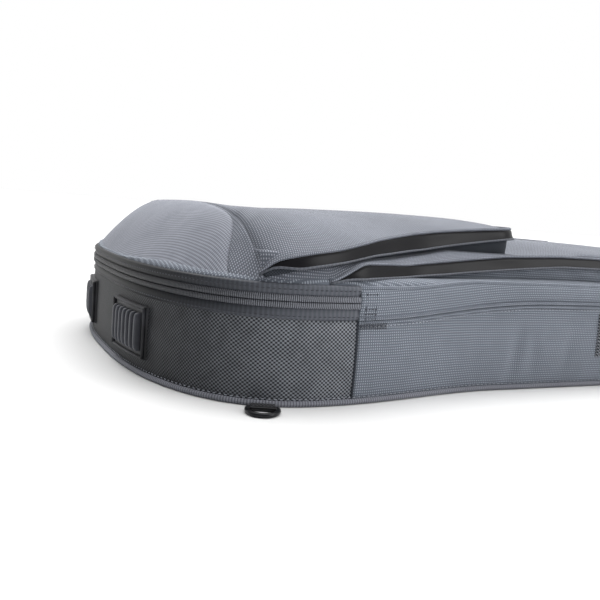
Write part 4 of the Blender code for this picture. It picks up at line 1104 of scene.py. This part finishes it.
def tab_and_ring(which, run):
    """The webbing tab under the edge and the wire ring it holds, flat on the floor."""
    point, out, side = local_frame(run)
    reach = np.linspace(-0.010, 0.0138, 13)[:, None]
    high = 0.0014 + 0.0003 * np.sin(reach * 500.0)
    centre = point + out * reach + UP * high
    tab = swept(f"ring_tab_{which}_webbing", centre, np.broadcast_to(side, centre.shape),
                np.broadcast_to(UP, centre.shape), oval(TAB_WIDE, TAB_THICK, 20, 5.0), webbing)
    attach(tab, "base")
    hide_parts(f"ring_tab_{which}")
    bar = 0.0038 + 0.0085 + GAP + 0.0016
    turn = np.linspace(0.0, math.pi, 41)
    arc = (point + side * (RING_HALF * np.cos(turn))[:, None]
           + out * (bar + RING_DEEP * np.sin(turn) ** 0.8)[:, None])
    bar_points = point + out * bar + side * np.linspace(-RING_HALF, RING_HALF, 12)[1:-1, None]
    line = np.concatenate([arc, bar_points]) + UP * RING_WIRE
    ahead = np.roll(line, -1, 0) - np.roll(line, 1, 0)
    ahead /= np.linalg.norm(ahead, axis=1, keepdims=True)
    across = np.cross(ahead, UP)
    ring = swept(f"strap_ring_{which}", line, across, np.broadcast_to(UP, across.shape),
                 oval(2.0 * RING_WIRE, 2.0 * RING_WIRE, 10), black_zinc, closed=True)
    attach(ring, f"ring_{which}")
    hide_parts(f"d_ring_{which}")


ring_run = run_at(RING_AT)
tab_and_ring("near", ring_run)
tab_and_ring("far", LAP - ring_run)


def handle():
    """A webbing handle with a rolled grip, hung from two stitched patches."""
    first, last = (along(run_at(station)) for station in HANDLE_ENDS)
    u = np.linspace(0.0, 1.0, 61)
    arch = np.sin(math.pi * u) ** 0.7
    x = first[0] + (last[0] - first[0]) * u
    y = -FLANK_HALF - 0.0051 - 0.0075 * arch
    line = np.column_stack([x, y, HANDLE_HEIGHT - HANDLE_DROP * arch])
    ahead = np.gradient(line, axis=0)
    ahead /= np.linalg.norm(ahead, axis=1, keepdims=True)
    out = np.broadcast_to([0.0, -1.0, 0.0], line.shape)
    across = np.cross(out, ahead)
    grip = swept("handle_grip", line, out, across, oval(0.0050, 0.0090, 14), webbing)
    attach(grip, "handle")
    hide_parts("handle_strap")
    for name, station in zip(("rear", "front"), HANDLE_ENDS):
        run = run_at(station)
        a = np.linspace(-1.0, 1.0, 17)[:, None]
        b = np.linspace(-1.0, 1.0, 23)[None, :]
        out = (0.0004 + 0.0026 * (1 - np.abs(a) ** 10) ** 0.1 * (1 - np.abs(b) ** 10) ** 0.1)
        patch = carried(f"handle_{name}_patch", run + 0.013 * a[:, 0],
                        np.stack([out, np.broadcast_to(HANDLE_HEIGHT + 0.019 * b, out.shape)],
                                 -1), ballistic)
        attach(patch, "base")
        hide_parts(f"handle_patch_{name}")


handle()


def head_loop():
    """The hanging loop at the head end: one webbing band bent to a narrow U."""
    u = np.linspace(0.0, 1.0, 49)
    half = 0.5 * LOOP_WIDE - 0.0032
    turn = math.pi * (u - 0.5)
    x = LENGTH - 0.004 + LOOP_OUT * np.abs(np.cos(turn)) ** 0.42
    y = half * np.sin(turn) * (1.0 - 0.25 * np.cos(turn) ** 2)
    line = np.column_stack([x, y, np.full(len(u), LOOP_HEIGHT)])
    ahead = np.gradient(line, axis=0)
    ahead /= np.linalg.norm(ahead, axis=1, keepdims=True)
    across = np.cross(ahead, UP)
    loop = swept("hanging_loop", line, across, np.broadcast_to(UP, across.shape),
                 oval(0.0032, LOOP_BAND, 16, 4.0), webbing)
    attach(loop, "base")
    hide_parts("head_loop")


head_loop()


# ------------------------------------------------------------ inside and back
def slab(name, inset, low, high, material, puff, body, nodes, quilt=0.0, under=False):
    """A padded sheet over the whole plan, closed all round: two grids, top and bottom.

    z = low + (high - low) (1 - (1 - e)^4)^(1/4) at a share e of 12 mm from the edge,
    with a puff over the middle and quilting channels 40 mm apart."""
    rows = inset_outline(inset)[::4]
    rows = rows[np.concatenate([[True], np.diff(rows[:, 0]) > 0.0])]
    rows[[0, -1], 1] = 0.0
    share = np.sin(0.5 * math.pi * np.linspace(-1.0, 1.0, 57))[None, :]
    x = np.broadcast_to(rows[:, :1], (len(rows), 57))
    y = -rows[:, 1:] * share
    gap = np.minimum((1.0 - np.abs(share)) * np.abs(rows[:, 1:]),
                     np.minimum(x - rows[0, 0], rows[-1, 0] - x))
    e = np.clip(gap / 0.012, 0.0, 1.0)
    soft = (1.0 - (1.0 - e) ** 4) ** 0.25
    channel = 0.0
    if quilt:
        for turned in (x + y, x - y):
            channel = channel + quilt * np.abs(np.cos(math.pi * turned / 0.080)) ** 14
    thick = high - low
    rise = (thick * soft + puff * soft * np.sin(0.5 * math.pi * np.clip(gap / 0.05, 0, 1))
            - channel * soft)
    if under:
        top = np.stack([x, y, np.broadcast_to(high, x.shape)], -1)
        bottom = np.stack([x, y, high - rise], -1)
    else:
        top = np.stack([x, y, low + rise], -1)
        bottom = np.stack([x, y, np.broadcast_to(low, x.shape)], -1)
    both = np.concatenate([top, bottom[:, ::-1]], 1)
    thing = grid(name, both, both[..., 0], both[..., 1], material, wrap_cols=True, weld=1e-6)
    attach(thing, body)
    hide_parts(*nodes)


slab("back_padding", WALL + GAP, 0.0103, 0.0203, back_cloth, 0.0004, "base", ["back_panel"],
     quilt=0.0016, under=True)
slab("floor_lining_pad", WALL + GAP, 0.0206, 0.0226, lining, 0.0006, "base",
     ["back_lining"])
slab("lid_lining_pad", 0.0030, 0.0712, 0.0818, lining, 0.0004, "lid", ["lid_lining"],
     quilt=0.0008, under=True)

inner_runs = np.linspace(0.0, LAP, 500)[:-1]
inner_share = np.linspace(0.0, 1.0, 15)
inner_out = -(WALL + GAP) - 0.0004 - 0.0012 * np.sin(math.pi * inner_share)
wall_lining = carried("wall_lining_cloth", inner_runs,
                      np.column_stack([inner_out, 0.0230 + 0.0474 * inner_share])[::-1],
                      lining, closed=True)
thicken(wall_lining, 0.0006, 1.0)
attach(wall_lining, "base")
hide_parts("wall_lining")


def merged_copy(name, node):
    """A copy of a CAD node's mesh with its loose triangles merged."""
    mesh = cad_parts[node].data.copy()
    mesh.name = name
    mesh.materials.clear()
    shape = bmesh.new()
    shape.from_mesh(mesh)
    bmesh.ops.remove_doubles(shape, verts=shape.verts, dist=0.00005)
    shape.to_mesh(mesh)
    shape.free()
    thing = bpy.data.objects.new(name, mesh)
    bpy.context.scene.collection.objects.link(thing)
    return thing


def applied(thing, modifier):
    """Fix a modifier's result into the mesh."""
    with bpy.context.temp_override(object=thing, active_object=thing):
        bpy.ops.object.modifier_apply(modifier=modifier.name)


def stuffed(name, node, shrink, cap, material):
    """A padded piece blown up from its solid: remeshed at 4 mm, simulated as cloth under
    pressure, its swelling capped, and subdivided once."""
    pad = merged_copy(name, node)
    pad.data.materials.append(material)
    remesh = pad.modifiers.new("remesh", "REMESH")
    remesh.mode = "VOXEL"
    remesh.voxel_size = 0.004
    applied(pad, remesh)
    low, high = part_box(node)
    middle = np.array((low + high) / 2)
    size = np.array(high - low)
    co = np.array([v.co for v in pad.data.vertices])
    co = middle + (co - middle) * (1.0 - 2.0 * shrink / np.maximum(size, 4.0 * shrink))
    pad.data.vertices.foreach_set("co", co.astype(np.float32).ravel())
    cloth = pad.modifiers.new("cloth", "CLOTH")
    cloth.settings.use_pressure = True
    cloth.settings.uniform_pressure_force = 4.0
    cloth.settings.effector_weights.gravity = 0.0
    cloth.settings.quality = 6
    for number in range(1, 21):
        bpy.context.scene.frame_set(number)
    applied(pad, cloth)
    bpy.context.scene.frame_set(1)
    blown = np.array([v.co for v in pad.data.vertices])
    move = blown - co
    far = np.linalg.norm(move, axis=1, keepdims=True)
    co = co + move * np.minimum(1.0, cap / np.maximum(far, 1e-9))
    pad.data.vertices.foreach_set("co", co.astype(np.float32).ravel())
    finer = pad.modifiers.new("finer", "SUBSURF")
    finer.levels = 1
    finer.render_levels = 1
    applied(pad, finer)
    pad.data.shade_smooth()
    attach(pad, "base")
    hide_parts(node)


stuffed("neck_cradle_pad", "neck_cradle", 0.0012, 0.0030, lining)
stuffed("bottom_bumper_pad", "end_pad", 0.0010, 0.0030, lining)
for which in ("near", "far"):
    stuffed(f"shoulder_pad_{which}", f"shoulder_strap_{which}", 0.0008, 0.0014, air_mesh)


def band_over(name, node, material):
    """Webbing between a CAD strap's ends: a flat oval band."""
    low, high = (np.array(c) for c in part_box(node))
    size, middle = high - low, 0.5 * (low + high)
    axis = int(np.argmax(size))
    other = 1 - axis
    u = np.linspace(-0.5, 0.5, 33)
    line = np.zeros((33, 3))
    line[:, axis] = middle[axis] + size[axis] * u
    line[:, other] = middle[other]
    line[:, 2] = middle[2]
    line[:, 0] += MIDDLE
    across = np.zeros((33, 3))
    across[:, other] = 1.0
    strap = swept(name, line, across, np.broadcast_to(UP, across.shape),
                  oval(size[other], max(size[2], 0.0012), 20, 4.0), material)
    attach(strap, "base")
    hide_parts(node)


band_over("neck_strap_band", "neck_strap", webbing)
for which in ("near", "far"):
    band_over(f"strap_webbing_{which}_band", f"strap_webbing_{which}", webbing)

# Hard pieces that keep their solids' shape.
metal = [f"{zip_name}_{kind}" for zip_name in ("main_a", "main_b", "long_pocket", "short_pocket")
         for kind in ("slider", "pull")] + ["strap_hook_near", "strap_hook_far"]
for look, nodes in ((acetal, ["strap_buckle_near", "strap_buckle_far"]), (black_zinc, metal)):
    for node in nodes:
        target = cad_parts[node]
        target.data.materials.clear()
        target.data.materials.append(look)


# ------------------------------------------------------------ floor, light, camera
floor_material, floor_shader = shader_of("matt_white_studio_floor", 0.9)
floor_shader.inputs["Base Color"].default_value = colour("#dedede")
floor = piece("studio_floor", [(-60, -60, 0), (60, -60, 0), (60, 60, 0), (-60, 60, 0)],
              [(0, 1, 2, 3)], floor_material, shade=False)

scene = bpy.context.scene
world = bpy.data.worlds.new("studio")
scene.world = world
world.use_nodes = True
# The room is white beyond the bag and dim behind the viewer and at the bag's bottom end.
background = world.node_tree.nodes["Background"]
place = world.node_tree.nodes.new("ShaderNodeTexCoord")
facing = world.node_tree.nodes.new("ShaderNodeVectorMath")
facing.operation = "DOT_PRODUCT"
facing.inputs[1].default_value = (0.55, 0.84, 0.0)
shade = world.node_tree.nodes.new("ShaderNodeMapRange")
world.node_tree.links.new(place.outputs["Generated"], facing.inputs[0])
world.node_tree.links.new(facing.outputs["Value"], shade.inputs["Value"])
shade.inputs["From Min"].default_value = -0.10
shade.inputs["From Max"].default_value = 0.50
shade.inputs["To Min"].default_value = 0.20
world.node_tree.links.new(shade.outputs[0], background.inputs["Strength"])
background.inputs["Color"].default_value = (1.0, 1.0, 1.0, 1.0)
scene.view_settings.view_transform = "Standard"


def softbox(name, place, target, size, power):
    """A square area light that looks at a point."""
    light = bpy.data.lights.new(name, "AREA")
    light.shape = "SQUARE"
    light.size = size
    light.energy = power
    lamp = bpy.data.objects.new(name, light)
    lamp.location = place
    lamp.rotation_euler = (Vector(target) - Vector(place)).to_track_quat("-Z", "Y").to_euler()
    scene.collection.objects.link(lamp)


softbox("right_front", (1.3, -1.6, 0.9), (-0.1, 0.0, 0.05), 1.0, 24.0)
sky = bpy.data.objects.new("ceiling", bpy.data.lights.new("ceiling", "SUN"))
sky.data.energy = 4.2
sky.data.angle = math.radians(75.0)
sky.rotation_euler = Vector((0.15, 0.30, 1.0)).to_track_quat("Z", "Y").to_euler()
scene.collection.objects.link(sky)

AZIMUTH, PITCH, ROLL = math.radians(-26.1), math.radians(7.7), math.radians(4.6)
EYE = (-0.6593, -0.624, 0.129)
SENSOR, FOCAL_SHARE, SHIFT_SHARE = 36.0, 1.2, 1.0 / 60.0    # shares of the sensor's width
camera = bpy.data.cameras.new("camera")
camera.sensor_width = SENSOR
camera.lens = SENSOR * FOCAL_SHARE
camera.shift_y = SHIFT_SHARE
camera.clip_start = 0.01
eye = bpy.data.objects.new("camera", camera)
scene.collection.objects.link(eye)
backwards = Vector((math.sin(AZIMUTH) * math.cos(PITCH), -math.cos(AZIMUTH) * math.cos(PITCH),
                    math.sin(PITCH)))
level = Vector((math.cos(AZIMUTH), math.sin(AZIMUTH), 0.0))
upwards = level.cross(-backwards)
right = level * math.cos(ROLL) + upwards * math.sin(ROLL)
top = upwards * math.cos(ROLL) - level * math.sin(ROLL)
turned = Matrix((right, top, backwards)).transposed()
eye.matrix_world = Matrix.Translation(EYE) @ turned.to_4x4()
scene.camera = eye
